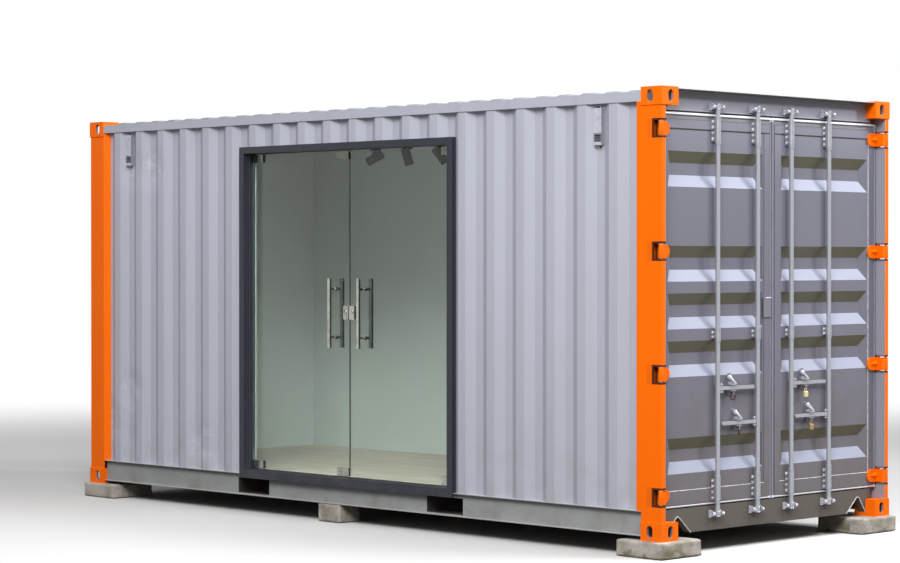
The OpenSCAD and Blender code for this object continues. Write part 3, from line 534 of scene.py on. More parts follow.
def leaf_hardware():
    """Zinc straps and catches whose back plates were painted over with the leaf."""
    f = Finish("leaf_hardware")
    bare, spangle, _ = zinc(f, tone(176, 178, 186), tone(150, 152, 160), 240.0)
    painted = 1 - f.fade(f.axis("X"), PLATE_FACE + 0.0008, PLATE_FACE + 0.0022)
    paint, _ = graphite(f)
    f.relief(f.noise(140, 3), 0.0006)
    colour = f.mix(painted, bare, paint)
    return f.surface(Base_Color=colour, Metallic=(1 - painted) * 0.65, Roughness=0.38 + spangle * 0.06)


def stainless():
    """Brushed steel with painted reflections: bright outside and low down, darker where it mirrors the room
    and the dark frame and on faces that look along +X.
    """
    f = Finish("stainless")
    lines = f.noise(260, 3, (1, 1, 0.02))
    colour = f.mix(f.fade(f.noise(20, 3), 0.4, 0.7), tone(172, 171, 164), tone(150, 149, 144))
    # high up darker: painted reflection of the dark frame
    high = f.fade(f.axis("Z"), 2.0, 2.2)
    colour = f.mix(high * 0.85, colour, tone(88, 92, 82))
    # the room side darker: painted reflection of the room
    inside = f.fade(f.axis("Y"), GLASS_Y + 0.010, GLASS_Y + 0.020)
    colour = f.mix(inside * 0.7, colour, tone(86, 86, 82))
    # faces that look along +X dark: painted reflection
    edge = f.facing("X", 0.70, 0.95)
    colour = f.mix(edge * 0.75, colour, tone(66, 68, 66))
    f.relief(lines, 0.0002)
    return f.surface(Base_Color=colour, Metallic=1.0, Roughness=lines * 0.1 + 0.18)


def lock_brass():
    """The padlocks' brass, the lower one tarnished."""
    f = Finish("lock_brass")
    worn = f.fade(f.noise(60, 5), 0.5, 0.75)
    colour = f.mix(worn * 0.6, tone(224, 208, 150), tone(146, 124, 84))
    tarnished = 1 - f.fade(f.axis("Z"), BETWEEN_PADLOCKS - 0.02, BETWEEN_PADLOCKS + 0.02)
    colour = f.mix(tarnished * 0.8, colour, tone(134, 108, 62))
    f.relief(f.noise(300, 2), 0.0003)
    return f.surface(Base_Color=colour, Metallic=0.6, Roughness=worn * 0.2 + 0.34)


def rusted():
    """Brown rust on a thin ring."""
    f = Finish("rusted")
    colour = f.mix(f.fade(f.noise(180, 5), 0.35, 0.65), tone(44, 30, 30), tone(82, 52, 42))
    f.relief(f.noise(400, 4), 0.001)
    return f.surface(Base_Color=colour, Roughness=0.8 + f.noise(90, 2) * 0.1)


def worn_edge():
    """Grey paint, pale along a rim or a bead as a painted highlight, in uneven patches."""
    f = Finish("worn_edge")
    rubbed = f.fade(f.noise(30, 5), 0.35, 0.65)
    f.relief(f.noise(160, 3), 0.0003)
    colour = f.mix(rubbed, tone(170, 168, 170), tone(206, 206, 212))
    return f.surface(Base_Color=colour, Roughness=0.34 + rubbed * 0.1)


# rubber, boards, concrete and glass
def seal_rubber():
    """Rubber painted over with the doors, with a painted highlight along its crown and foot and painted shade
    under the crown and where it folds in.
    """
    f = Finish("seal_rubber")
    dusty = f.fade(f.noise(10, 6), 0.45, 0.75)
    colour = f.mix(dusty * 0.4, tone(130, 130, 142), tone(112, 108, 112))
    # dark where it folds in: painted shade
    inner = 1 - f.fade(f.axis("X"), LEAF_FACE - 0.026, LEAF_FACE - 0.018)
    colour = f.mix(inner * 0.8, colour, tone(48, 46, 48))
    # the crown pale where it looks up and dark where it looks down: painted highlight and painted shade
    high = f.fade(f.axis("Z"), SEAL_TOP - 0.030, SEAL_TOP - 0.024)
    crown = f.mix(f.facing("Z", -0.5, 0.1), tone(104, 100, 98), tone(224, 228, 240))
    colour = f.mix(high, colour, crown)
    # the foot bead pale on its front: painted highlight
    foot = 1 - f.fade(f.axis("Z"), SEAL_FOOT + 0.016, SEAL_FOOT + 0.020)
    colour = f.mix(foot * f.facing("X", 0.0, 0.4), colour, tone(220, 222, 230))
    f.relief(f.noise(220, 3), 0.0004)
    return f.surface(Base_Color=colour, Roughness=0.32 + dusty * 0.15)


def light_black():
    """Satin black on the spotlights and their track."""
    f = Finish("light_black")
    f.relief(f.noise(500, 2), 0.0003)
    colour = f.mix(f.noise(30, 4), tone(20, 20, 21), tone(32, 32, 33))
    return f.surface(Base_Color=colour, Roughness=0.42 + f.noise(50, 3) * 0.1)


def lamp_glass():
    """Faceted reflector behind a lens."""
    f = Finish("lamp_glass")
    cells = f.add("TexVoronoi", {}, {"Vector": f.place, "Scale": 220.0}, out="Distance")
    f.relief(cells, 0.004)
    return f.surface(Base_Color=tone(196, 198, 200), Metallic=0.8, Roughness=0.12 + cells * 0.2)


def lining_board():
    """Smooth painted boards with a fine line where two sheets meet."""
    f = Finish("lining_board")
    colour = f.mix(f.fade(f.noise(0.8, 3), 0.3, 0.7), tone(214, 216, 217), tone(206, 208, 208))
    joint = 1 - f.fade(f.every("X", BOARD_WIDTH), 0.001, 0.004)
    f.relief(f.noise(90, 3) * 0.3 - joint, 0.001)
    colour = f.mix(joint * 0.5, colour, tone(170, 168, 160))
    return f.surface(Base_Color=colour, Roughness=0.6 + f.noise(20, 3) * 0.1)


def plywood():
    """Sealed floor sheets: pale grain along the length and a dark joint every sheet."""
    f = Finish("plywood")
    grain = f.noise(26, 7, (0.06, 1, 1), 0.6)
    colour = f.mix(f.fade(grain, 0.35, 0.65), tone(222, 204, 194), tone(198, 178, 164))
    colour = f.mix(f.fade(f.noise(1.4, 4), 0.4, 0.7) * 0.4, colour, tone(216, 204, 196))
    joint = 1 - f.fade(f.every("X", FLOOR_SHEET), 0.002, 0.006)
    f.relief(grain * 0.4 - joint, 0.0015)
    colour = f.mix(joint * 0.7, colour, tone(92, 78, 62))
    return f.surface(Base_Color=colour, Roughness=grain * 0.15 + 0.38)


def concrete():
    """Cast blocks: pitted, stained, with moss in the damp hollows."""
    f = Finish("concrete")
    stain = f.fade(f.noise(7, 7), 0.35, 0.7)
    colour = f.mix(stain, tone(186, 178, 170), tone(140, 134, 122))
    damp = f.fade(f.noise(11, 6), 0.50, 0.64) * (1 - f.fade(f.axis("Z"), 0.03, 0.12))
    colour = f.mix(damp * 0.8 * f.fade(f.axis("X"), 0.5, 1.5), colour, tone(96, 98, 62))
    pits = f.fade(f.noise(120, 5, rough=0.65), 0.30, 0.46)
    f.relief(pits * 0.8 + f.noise(22, 6) * 1.2, 0.005)
    colour = f.mix(1 - pits, colour, tone(92, 88, 78))
    return f.surface(Base_Color=colour, Roughness=0.9 - stain * 0.1)


def clear_glass():
    """Toughened glass with a faint green tint, which lamps shine through."""
    f = Finish("clear_glass")
    smear = f.fade(f.noise(2.2, 6, (1, 1, 0.4)), 0.5, 0.8)
    f.surface(Base_Color=(0.78, 0.85, 0.815, 1), Roughness=smear * 0.015, IOR=1.3, Transmission_Weight=1.0)
    shadow = f.add("LightPath", out="Is Shadow Ray")
    lamps_through = f.add("BsdfTransparent", {}, {"Color": (0.80, 0.87, 0.82, 1)})
    return f.seen_as(f.add("MixShader", {}, {0: shadow, 1: f.output("Principled BSDF"), 2: lamps_through}))


FINISHES = {
    make.__name__: make()
    for make in (
        orange_paint,
        casting_paint,
        post_paint,
        wall_paint,
        roof_paint,
        vent_paint,
        rail_paint,
        end_paint,
        frame_paint,
        underseal,
        galvanised,
        cast_zinc,
        leaf_hardware,
        stainless,
        lock_brass,
        rusted,
        worn_edge,
        seal_rubber,
        light_black,
        lamp_glass,
        lining_board,
        plywood,
        concrete,
        clear_glass,
    )
}

# nodes whose finish isn't simply that of their slot
SPECIAL_FINISH = {
    "corner_castings": "casting_paint",
    "door_end_posts": "post_paint",
    "cam_keepers": "cast_zinc",
    "roof_panel": "roof_paint",
    "vent_boxes": "vent_paint",
    "left_leaf_fittings": "leaf_hardware",
    "right_leaf_fittings": "leaf_hardware",
}

for subpart in frame["record"]["subparts"]:
    mesh = frame["nodes"][subpart["node"]].data
    mesh.materials.clear()
    mesh.materials.append(FINISHES[SPECIAL_FINISH.get(subpart["node"], subpart["material_slot"])])

# rounded edges, inside the solids' own outline: node, radius
ROUNDED = {
    "corner_castings": 0.007,
    "door_end_posts": 0.004,
    "blind_end_posts": 0.004,
    "door_sill": 0.003,
    "door_header": 0.003,
    "cam_keepers": 0.003,
    "padlocks": 0.0035,
    "vent_boxes": 0.002,
    "left_hinge_blades": 0.002,
    "right_hinge_blades": 0.002,
    "lock_handle_1": 0.003,
    "lock_handle_2": 0.003,
    "lock_handle_3": 0.003,
    "lock_handle_4": 0.003,
    "glass_door_frame": 0.002,
    "left_glass_fittings": 0.0015,
    "right_glass_fittings": 0.0015,
}


def add_bevel(thing, radius, least_angle):
    """Rounds the edges that turn by more than an angle."""
    bevel = thing.modifiers.new("rounded", "BEVEL")
    bevel.width = radius
    bevel.segments = 2
    bevel.limit_method = "ANGLE"
    bevel.angle_limit = math.radians(least_angle)


for node, radius in ROUNDED.items():
    weld = frame["nodes"][node].modifiers.new("joined", "WELD")
    weld.merge_threshold = 0.00002
    add_bevel(frame["nodes"][node], radius, 50)


# shapes for the small hardware
def new_piece(name, shape, finish, body):
    """Turns a bmesh into an object of one finish that rides on a body."""
    mesh = bpy.data.meshes.new(name)
    bmesh.ops.recalc_face_normals(shape, faces=shape.faces)
    shape.to_mesh(mesh)
    shape.free()
    mesh.shade_smooth()
    mesh.set_sharp_from_angle(angle=math.radians(35))
    piece = bpy.data.objects.new(name, mesh)
    bpy.context.scene.collection.objects.link(piece)
    mesh.materials.append(FINISHES[finish])
    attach(piece, body)
    return piece


def turned_to(axis):
    """The rotation that carries +Z to an axis."""
    return Vector((0, 0, 1)).rotation_difference(Vector(axis)).to_matrix().to_4x4()


def turns(count):
    """Angles once round a circle, in equal steps."""
    return [2 * math.pi * i / count for i in range(count)]


def add_lathe(shape, outline, at, axis, sides=20):
    """A solid of revolution: outline is [(radius, height)] from one pole to the other."""
    place = Matrix.Translation(Vector(at)) @ turned_to(axis)
    rings = []
    for radius, height in outline:
        ring = [Vector((radius * math.cos(t), radius * math.sin(t), height)) for t in turns(sides)]
        rings.append([shape.verts.new(place @ point) for point in (ring if radius else ring[:1])])
    for low, high in zip(rings, rings[1:]):
        for i in range(sides):
            j = (i + 1) % sides
            corners = [low[i % len(low)], low[j % len(low)], high[j % len(high)], high[i % len(high)]]
            shape.faces.new(list(dict.fromkeys(corners)))


def add_bolt(shape, at, axis, size):
    """A hexagon bolt head on its washer; size is the width over the flats."""
    washer, thick = size * 0.95, size * 0.12
    add_lathe(shape, [(0, 0), (washer, 0), (washer, thick), (0, thick)], at, axis, 16)
    head, foot, top = size / math.sqrt(3), thick * 0.5, thick + size * 0.55
    outline = [(0, foot), (head, foot), (head, top - size * 0.08), (head * 0.82, top), (0, top)]
    add_lathe(shape, outline, at, axis, 6)


def add_cap(shape, at, axis, radius, height):
    """A round cap or rivet with a domed face."""
    rim, shoulder = (radius, height * 0.5), (radius * 0.8, height * 0.85)
    add_lathe(shape, [(0, 0), (radius, 0), rim, shoulder, (radius * 0.4, height), (0, height)], at, axis, 18)


def add_tube(shape, path, radius, sides=10, closed=False, flat=1.0):
    """A bar swept along a path of points; flat under 1 squeezes it across."""
    count = len(path)
    rings = []
    side = None
    for i, point in enumerate(path):
        before = path[i - 1] if i or closed else path[i]
        after = path[(i + 1) % count] if i < count - 1 or closed else path[i]
        ahead = (after - before).normalized()
        side = ahead.orthogonal() if side is None else side
        side = (side - ahead * side.dot(ahead)).normalized()
        up = ahead.cross(side)
        spokes = [side * math.cos(t) + up * math.sin(t) * flat for t in turns(sides)]
        rings.append([shape.verts.new(point + spoke * radius) for spoke in spokes])
    pairs = list(zip(rings, rings[1:])) + ([(rings[-1], rings[0])] if closed else [])
    for low, high in pairs:
        for k in range(sides):
            shape.faces.new([low[k], low[(k + 1) % sides], high[(k + 1) % sides], high[k]])
    if not closed:
        shape.faces.new(list(reversed(rings[0])))
        shape.faces.new(rings[-1])


def add_plate(shape, outline, at, along, across, thick):
    """A flat plate: outline in metres on the along and across directions, thickened to one side."""
    along, across = Vector(along), Vector(across)
    rise = along.cross(across) * thick
    low = [shape.verts.new(Vector(at) + along * u + across * v) for u, v in outline]
    high = [shape.verts.new(vert.co + rise) for vert in low]
    shape.faces.new(list(reversed(low)))
    shape.faces.new(high)
    for i in range(len(low)):
        j = (i + 1) % len(low)
        shape.faces.new([low[i], low[j], high[j], high[i]])


def add_weld(shape, path, size, seed):
    """A weld bead along a path: a lumpy bar half sunk in the joint."""
    dice = random.Random(seed)
    points = []
    for start, end in zip(path, path[1:]):
        steps = max(2, round((end - start).length / (size * 1.2)))
        points += [start.lerp(end, i / steps) for i in range(steps)]
    points.append(path[-1])
    first = len(shape.verts)
    add_tube(shape, points, size, 8)
    shape.verts.ensure_lookup_table()
    for i, point in enumerate(points):
        swell = 1 + dice.uniform(-0.18, 0.18) + (0.14 if i % 2 else -0.08)
        for vert in shape.verts[first + i * 8 : first + i * 8 + 8]:
            vert.co = point + (vert.co - point) * swell


def rounded_outline(width, height, radius, steps=5):
    """A rectangle about the origin with rounded corners."""
    points = []
    for k, (u, v) in enumerate(((1, 1), (-1, 1), (-1, -1), (1, -1))):
        for i in range(steps + 1):
            t = math.pi / 2 * (k + i / steps)
            x, y = u * (width / 2 - radius), v * (height / 2 - radius)
            points.append((x + radius * math.cos(t), y + radius * math.sin(t)))
    return points


# lock rods, keepers and brackets
def rod_hardware():
    """Domed rod ends, weld rings at the cams, the clevis web and the heads of its pin."""
    reach = ROD_RADIUS * 1.02
    dome = [(0, -0.003), (reach, -0.003), (reach, 0.0), (0.0125, 0.0032), (0.007, 0.0052), (0, 0.006)]
    ring = [(0.0178, -0.003), (0.0195, 0.0), (0.0178, 0.003), (0.015, 0.003), (0.015, -0.003)]
    ring.append(ring[0])
    web = rounded_outline(0.016, 0.056, 0.003)
    for body, across, height, way in RODS:
        shape = bmesh.new()
        for end, up in zip(ROD_ENDS, (-1, 1)):
            add_lathe(shape, dome, (ROD_X, across, end), (0, 0, up), 24)
        for cam in CAM_HEIGHTS:
            for s in (-1, 1):
                add_lathe(shape, ring, (ROD_X, across, cam + s * 0.0165), UP, 24)
        add_plate(shape, web, (ROD_X, across + way * 0.0125, height), ALONG, UP, -0.0055 * way)
        for s in (-1, 1):
            add_cap(shape, (ROD_X, across + way * 0.036, height + s * 0.028), (0, 0, s), 0.0075, 0.005)
            lug = [Vector((ROD_X + x, across + way * 0.014, height + s * 0.0285)) for x in (-0.008, 0.008)]
            add_weld(shape, lug, 0.0025, 3)
        new_piece("hardware_" + body, shape, "galvanised", body)


def keeper_hardware():
    """Bosses round the keepers' holes and weld beads round their feet."""
    bosses = bmesh.new()
    welds = bmesh.new()
    boss = [(0.0065, 0), (0.0135, 0), (0.0135, 0.007), (0.0118, 0.0092), (0.0085, 0.0092), (0.0065, 0.007)]
    boss.append(boss[0])
    for _, across, _, _ in RODS:
        for cam in CAM_HEIGHTS:
            for s in (-1, 1):
                at = (FRAME_FACE + 0.032, across + s * (EAR_FROM_ROD + 0.0055), cam)
                add_lathe(bosses, boss, at, (0, s, 0), 22)
                inner, outer = across + s * (EAR_FROM_ROD - 0.006), across + s * (EAR_FROM_ROD + 0.020)
                corners = [(outer, -0.024), (outer, 0.024), (inner, 0.027), (inner, -0.027), (outer, -0.024)]
                foot = [Vector((FRAME_FACE + 0.001, y, cam + z)) for y, z in corners]
                add_weld(welds, foot, 0.0028, 7)
    new_piece("keeper_bosses", bosses, "cast_zinc", "cabin")
    new_piece("keeper_welds", welds, "end_paint", "cabin")


def bracket_bolts():
    """Bolts down both sides of every rod bracket."""
    for side, door in CARGO_DOORS:
        shape = bmesh.new()
        for across in [rod[1] for rod in RODS if rod[1] * side > 0]:
            for middle, half in BRACKETS:
                rows = (-0.75, -0.25, 0.25, 0.75) if half > 0.05 else (-0.5, 0.5)
                for s in (-1, 1):
                    for row in rows:
                        add_bolt(shape, (PLATE_FACE, across + s * 0.031, middle + row * half), ALONG, 0.012)
        new_piece("bracket_bolts_" + door, shape, "worn_edge", door)


# handle catches
def catch_levers():
    """The curved lever of each catch, its knob and the plate that carries them."""
    plates = {door: bmesh.new() for _, door in CARGO_DOORS}
    levers = {door: bmesh.new() for _, door in CARGO_DOORS}
    back = [(u, v + 0.066) for u, v in rounded_outline(0.050, 0.056, 0.018)]
    knob = [(0, 0), (0.016, 0), (0.0175, 0.004), (0.0175, 0.011), (0.0145, 0.017)]
    knob += [(0.008, 0.0205), (0, 0.0215)]
    foot = rounded_outline(0.030, 0.036, 0.008)
    for body, across, height in CATCHES:
        add_plate(plates[body], back, (LEAF_FACE - 0.005, across - 0.006, height), ACROSS, UP, 0.010)
        add_lathe(levers[body], knob, (PLATE_FACE, across - 0.010, height + 0.068), ALONG, 22)
        bend = []
        for i in range(13):
            t = i / 12
            out = 0.016 + 0.018 * math.sin(math.pi * 0.5 * t)
            aside, rise = 0.034 * t**1.3 - 0.010, 0.070 - 0.047 * t**0.9
            bend.append(Vector((PLATE_FACE + out, across + aside, height + rise)))
        add_tube(levers[body], bend, 0.0075, 12, flat=0.7)
        foot_at = (PLATE_FACE + 0.022, across + 0.020, height + 0.0215)
        add_plate(levers[body], foot, foot_at, ALONG, ACROSS, 0.004)
        for s in (-1, 1):
            add_bolt(plates[body], (PLATE_FACE, across + s * 0.022, height - 0.036), ALONG, 0.010)
    for _, door in CARGO_DOORS:
        new_piece("catch_plates_" + door, plates[door], "end_paint", door)
        new_piece("catch_levers_" + door, levers[door], "cast_zinc", door)


def hanging_rings():
    """The rusted rings in the lugs of the left leaf's catches."""
    shape = bmesh.new()
    for (_, across, height), heading in zip(CATCHES[:2], (math.radians(45), math.radians(-38))):
        level = Vector((math.cos(heading), math.sin(heading), 0))
        middle = Vector((LEAF_FACE + 0.032, across, height - 0.036 - 0.0205))
        upright = Vector((0, 0, 0.0225))
        loop = [middle + level * 0.0155 * math.cos(t) + upright * math.sin(t) for t in turns(32)]
        add_tube(shape, loop, 0.0036, 8, closed=True)
    new_piece("hanging_rings", shape, "rusted", "left_cargo_door")


# leaves
def hinge_hardware():
    """A pressed crease on each hinge blade and the weld at its knuckle."""
    for side, door in CARGO_DOORS:
        shape = bmesh.new()
        for height in LEAF_HINGES:
            base = Vector((LEAF_FACE + 0.0095, side * 1.166, height))
            tip = Vector((LEAF_FACE + 0.0095, side * 1.082, height))
            half = Vector((0, 0, 0.034))
            crest = base + Vector((0.018, 0, 0))
            verts = [shape.verts.new(point) for point in (base + half, tip, base - half, crest)]
            for face in ((0, 1, 3), (1, 2, 3), (2, 0, 3), (2, 1, 0)):
                shape.faces.new([verts[i] for i in face])
            knuckle = [Vector((LEAF_FACE + 0.0105, side * 1.159, height + z)) for z in (-0.042, 0.042)]
            add_weld(shape, knuckle, 0.0028, 11)
        add_bevel(new_piece("hinge_creases_" + door, shape, "orange_paint", door), 0.001, 30)


def leaf_seams():
    """Weld seams round the pressed panels, and pale beads that are painted highlights: at the foot, up the
    right leaf's outer side and over the seal plate."""
    for side, door in CARGO_DOORS:
        inner, outer = (side * y for y in PANEL_SIDES)
        seams = bmesh.new()
        ring = [(inner, PANEL_FOOT), (outer, PANEL_FOOT), (outer, PANEL_TOP), (inner, PANEL_TOP)]
        ring.append(ring[0])
        add_weld(seams, [Vector((LEAF_FACE - 0.0045, y, z)) for y, z in ring], 0.0022, 17)
        new_piece("leaf_seams_" + door, seams, "end_paint", door)
        beads = bmesh.new()
        face = LEAF_FACE - 0.0040
        add_weld(beads, [Vector((face, y, PANEL_FOOT - 0.001)) for y in (inner, outer)], 0.0036, 19)
        if side > 0:
            add_weld(beads, [Vector((face, outer, z)) for z in (PANEL_FOOT, PANEL_TOP)], 0.0034, 29)
        else:
            start, end = SEAL_PLATE_ACROSS[0] + 0.020, SEAL_PLATE_ACROSS[1]
            edge = [Vector((PLATE_FACE, y, SEAL_PLATE_HEIGHTS[1] + 0.001)) for y in (start, end)]
            add_weld(beads, edge, 0.0042, 31)
        new_piece("foot_beads_" + door, beads, "worn_edge", door)


def notch_rims():
    """The rim round the arched notch at each end of the sill, pale as a painted highlight."""
    shape = bmesh.new()
    foot, peak, end = (Vector((FRAME_FACE, y, z)) for y, z in SILL_NOTCH)
    start = peak + (foot - peak).normalized() * 0.032
    stop = peak + (end - peak).normalized() * 0.032
    bend = [start.lerp(peak, t / 8).lerp(peak.lerp(stop, t / 8), t / 8) for t in range(9)]
    for side in (-1, 1):
        path = [Vector((p.x, side * p.y, p.z)) for p in [foot] + bend + [end]]
        add_tube(shape, path, 0.0038, 8)
    new_piece("notch_rims", shape, "worn_edge", "cabin")


# vents, door frame and glass fittings
def vent_hardware():
    """Round-headed screws in the vents' flanges: two at the top and one at the foot, in dark rust that also
    stands as painted shade of their holes.
    """
    shape = bmesh.new()
    low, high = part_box("vent_boxes")
    half, margin = 0.033, 0.011
    screws = ((-0.018, high[2] - margin), (0.018, high[2] - margin), (0.0, low[2] + margin))
    for side in (-1, 1):
        for x in (low[0] + half, high[0] - half):
            for dx, z in screws:
                add_cap(shape, (x + dx, side * VENT_FLANGE_FACE, z), (0, side, 0), 0.0065, 0.004)
    new_piece("vent_screws", shape, "rusted", "cabin")


def frame_hardware():
    """Screw caps along the head and down the jambs of the door frame."""
    low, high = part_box("glass_door_frame")
    left, right, head = low[0] + FRAME_MIDDLE, high[0] - FRAME_MIDDLE, high[2] - FRAME_MIDDLE
    places = [(x, head) for x in (left, -0.62, 0.0, 0.62, right)]
    places += [(x, z) for x in (left, right) for z in (0.36, 1.0, 1.65, 2.25)]
    caps = bmesh.new()
    for x, z in places:
        add_cap(caps, (x, DOOR_FACE, z), (0, -1, 0), 0.007, 0.002)
    new_piece("frame_caps", caps, "frame_paint", "cabin")


def glass_hardware():
    """Clamp screws of the patches, the lock's cylinder and collars on the pull handles."""
    low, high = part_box("right_glass")
    heights = (low[2] + 0.026, high[2] - 0.026)
    rim = [(0.0125, 0), (0.0165, 0), (0.0165, 0.004), (0.0148, 0.0056), (0.0125, 0.0056), (0.0125, 0)]
    end_cap = [(0, 0), (0.0162, 0), (0.0150, 0.0016), (0.006, 0.0022), (0, 0.0022)]
    collar = [(0.0092, 0), (0.0118, 0), (0.0118, 0.006), (0.0092, 0.008), (0.0092, 0)]
    for side, body in GLASS_LEAVES:
        shape = bmesh.new()
        screws = [(x, z) for z in heights for x in (PIVOT_X - 0.022, PIVOT_X + 0.040)]
        if side < 0:
            screws += [(x, z) for x in (0.034, 0.098) for z in heights]
        for x, z in screws:
            for s in (-1, 1):
                add_cap(shape, (side * x, GLASS_Y + s * 0.015, z), (0, s, 0), 0.0055, 0.0018)
        for s in (-1, 1):
            lock_face = GLASS_Y + s * 0.016
            add_cap(shape, (side * LOCK_X, lock_face, LOCK_HEIGHT + 0.018), (0, s, 0), 0.006, 0.0018)
            add_lathe(shape, rim, (side * LOCK_X, lock_face, LOCK_HEIGHT), (0, s, 0), 28)
            for end, up in zip(PULL_ENDS, (-1, 1)):
                add_lathe(shape, end_cap, (side * PULL_X, GLASS_Y + s * 0.065, end), (0, 0, up), 28)
            for post in PULL_POSTS:
                add_lathe(shape, collar, (side * PULL_X, GLASS_Y + s * 0.0105, post), (0, s, 0), 24)
        new_piece("glass_screws_" + body, shape, "stainless", body)


# spotlights
def spot_hardware():
    """Lens, bezel, ribs and stirrup of each spotlight."""
    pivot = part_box("ceiling_lining")[0][2] - SPOTLIGHT_DROP
    lens = [(0, -0.020), (0.012, -0.0195), (0.0285, -0.016), (0.0285, -0.022), (0, -0.022)]
    bezel = [(0.0285, -0.017), (0.0285, 0.0), (0.031, 0.0022), (0.0345, 0.0022), (0.0352, 0.0)]
    bezel += [(0.0352, -0.010), (0.0338, -0.010), (0.0338, -0.017), (0.0285, -0.017)]
    rib = [(0.0335, 0), (0.0352, 0), (0.0352, 0.003), (0.0335, 0.003), (0.0335, 0)]
    lenses = bmesh.new()
    black = bmesh.new()
    for i, (tilt, heading) in enumerate(SPOTLIGHTS):
        turn = Matrix.Rotation(math.radians(heading), 4, "Z")
        stand = Matrix.Translation((FIRST_SPOTLIGHT + SPOTLIGHT_PITCH * i, 0, pivot)) @ turn
        can = stand @ Matrix.Rotation(math.radians(tilt), 4, "Y")
        down = (can.to_3x3() @ Vector((0, 0, -1))).normalized()
        mouth = can @ Vector((0, 0, -0.065))
        add_lathe(lenses, lens, mouth, down, 32)
        add_lathe(black, bezel, mouth, down, 36)
        for k in range(5):
            add_lathe(black, rib, can @ Vector((0, 0, 0.020 + 0.009 * k)), -down, 36)
        for s in (-1, 1):
            strap = [stand @ Vector((0, s * 0.0365, z)) for z in (0.0, 0.052)]
            add_tube(black, strap, 0.008, 8, flat=0.25)
            add_cap(black, stand @ Vector((0, s * 0.035, 0)), turn.to_3x3() @ Vector((0, s, 0)), 0.009, 0.006)
    new_piece("spot_lenses", lenses, "lamp_glass", "cabin")
    new_piece("spot_rims", black, "light_black", "cabin")


# concrete
def add_rough_block(shape, low, high):
    """A cast block: a fine grid on each face, pitted faces and broken arrises, never outside its box."""
    start = len(shape.verts)
    made = bmesh.ops.create_cube(shape, size=1.0)
    edges = list({e for v in made["verts"] for e in v.link_edges})
    bmesh.ops.subdivide_edges(shape, edges=edges, cuts=17, use_grid_fill=True)
    shape.verts.ensure_lookup_table()
    middle = (low + high) / 2
    half = (high - low) / 2
    for vert in shape.verts[start:]:
        unit = vert.co * 2
        at = Vector([m + u * h for m, u, h in zip(middle, unit, half)])
        gaps = sorted((1 - abs(u)) * h for u, h in zip(unit, half))
        worn = 0.5 + 0.5 * noise.noise(at * 8.0)
        coarse = 0.5 + 0.5 * noise.fractal(at * 26.0, 1.0, 2.0, 4)
        depth = 0.0015 * coarse + max(0.0, 0.012 - gaps[1]) * (0.35 + 0.5 * worn)
        for k in range(3):
            if abs(abs(unit[k]) - 1) < 1e-4 and not (k == 2 and gaps[1] > 0.02):
                at[k] -= math.copysign(depth, unit[k])
        vert.co = at


def rough_blocks():
    """The blocks under the corners and the middle of the sides."""
    shape = bmesh.new()
    x1, y1 = CASTING_END[0] + BLOCK_OVER, CASTING_END[1] + BLOCK_OVER
    corner = ((x1 - BLOCK_SIDE, y1 - BLOCK_SIDE, 0), (x1, y1, BLOCK_TOP))
    places = [(sx, sy, corner) for sx in (-1, 1) for sy in (-1, 1)]
    places += [(1, sy, MIDDLE_BLOCK) for sy in (-1, 1)]
    for sx, sy, (low, high) in places:
        ends = [sorted((way * a, way * b)) for way, a, b in zip((sx, sy, 1), low, high)]
        add_rough_block(shape, Vector([end[0] for end in ends]), Vector([end[1] for end in ends]))
    piece = new_piece("rough_blocks", shape, "concrete", "cabin")
    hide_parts("concrete_blocks")


# welds on the body
def casting_welds():
    """Beads round the outer faces of the castings, where the posts meet them."""
    welds = bmesh.new()
    reach_x, reach_y, top = CASTING_END
    for sx in (-1, 1):
        for sy in (-1, 1):
            for z in (BLOCK_TOP + CASTING_SIZE[2], top - CASTING_SIZE[2]):
                x0, x1 = sx * (reach_x - 0.0065), sx * (reach_x - 0.170)
                y0, y1 = sy * (reach_y - 0.0065), sy * (reach_y - 0.100)
                path = [Vector((x1, y0, z)), Vector((x0, y0, z)), Vector((x0, y1, z))]
                add_weld(welds, path, 0.0045, 23)
    new_piece("casting_welds", welds, "orange_paint", "cabin")


rod_hardware()
keeper_hardware()
bracket_bolts()
catch_levers()
hanging_rings()
hinge_hardware()
leaf_seams()
notch_rims()
vent_hardware()
frame_hardware()
glass_hardware()
spot_hardware()
rough_blocks()
casting_welds()


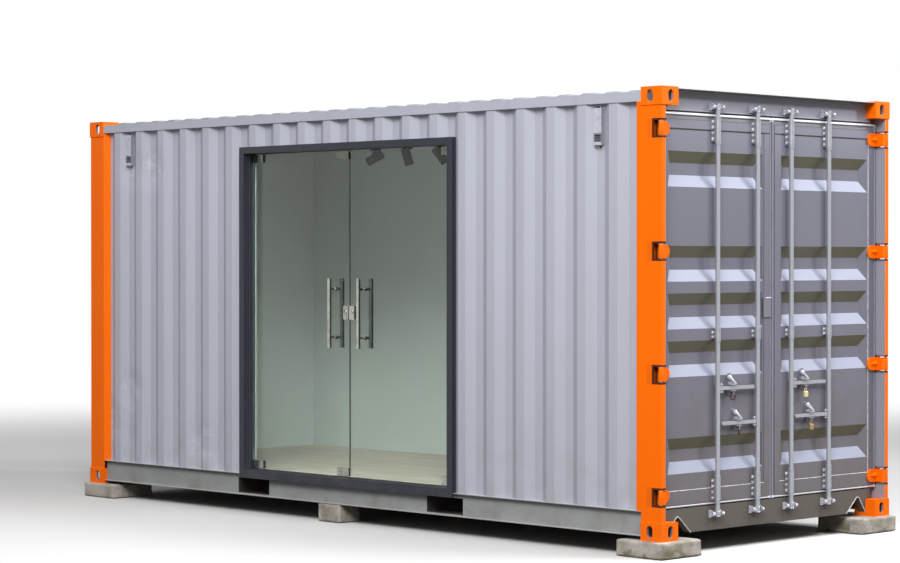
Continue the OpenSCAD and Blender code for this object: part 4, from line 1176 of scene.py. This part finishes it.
# floor, backdrop and lamps
def studio_world(strength):
    """Even light from all round, white where the camera sees it."""
    world = bpy.data.worlds.new("studio")
    bpy.context.scene.world = world
    world.use_nodes = True
    nodes = Nodes(world.node_tree)
    nodes.fill("Background", {"Color": (0.95, 0.97, 1.0, 1), "Strength": strength})
    shown = nodes.add("Background", {}, {"Color": (1, 1, 1, 1)})
    nodes.fill("World Output", {"Surface": nodes.mixed_by_ray(nodes.output("Background"), shown)})


def studio_floor(half_width):
    """A pale floor that keeps the object's shadow and fades to white far off."""
    shape = bmesh.new()
    bmesh.ops.create_grid(shape, x_segments=1, y_segments=1, size=half_width)
    mesh = bpy.data.meshes.new("floor")
    shape.to_mesh(mesh)
    shape.free()
    floor = bpy.data.objects.new("floor", mesh)
    bpy.context.scene.collection.objects.link(floor)
    f = Finish("floor")
    f.surface(Base_Color=(0.70, 0.70, 0.69, 1), Roughness=0.9, Specular_IOR_Level=0.0)
    far = f.add("VectorMath", {"operation": "LENGTH"}, {0: f.place}, out="Value")
    white = f.add("Emission", {}, {"Color": (1, 1, 1, 1)})
    dim = f.add("BsdfDiffuse", {}, {"Color": (0.135, 0.125, 0.112, 1)})
    faded = f.add("MixShader", {}, {0: f.fade(far, 7.0, 16.0), 1: f.output("Principled BSDF"), 2: white})
    mesh.materials.append(f.seen_as(f.mixed_by_ray(dim, faded)))


def softbox(name, at, aim, size, power):
    """A square lamp that looks at a point."""
    lamp = bpy.data.lights.new(name, "AREA")
    lamp.shape = "SQUARE"
    lamp.size = size
    lamp.energy = power
    holder = bpy.data.objects.new(name, lamp)
    holder.location = at
    holder.rotation_mode = "QUATERNION"
    holder.rotation_quaternion = (Vector(aim) - Vector(at)).to_track_quat("-Z", "Y")
    bpy.context.scene.collection.objects.link(holder)


studio_world(0.31)
studio_floor(300)
softbox("over_the_doors", (6.5, 2.0, 10.0), (3.0, 0, 1.6), 4.0, 820)
softbox("before_the_wall", (9.75, -12.15, 11.3), (0, -1.2, 1.4), 6.75, 2850)
softbox("over_the_wall", (0.0, -5.0, 10.0), (0, -1.2, 1.4), 5, 200)
softbox("beside_the_doors", (8.5, 8.0, 7.0), (2.9, 0, 1.6), 1.2, 560)
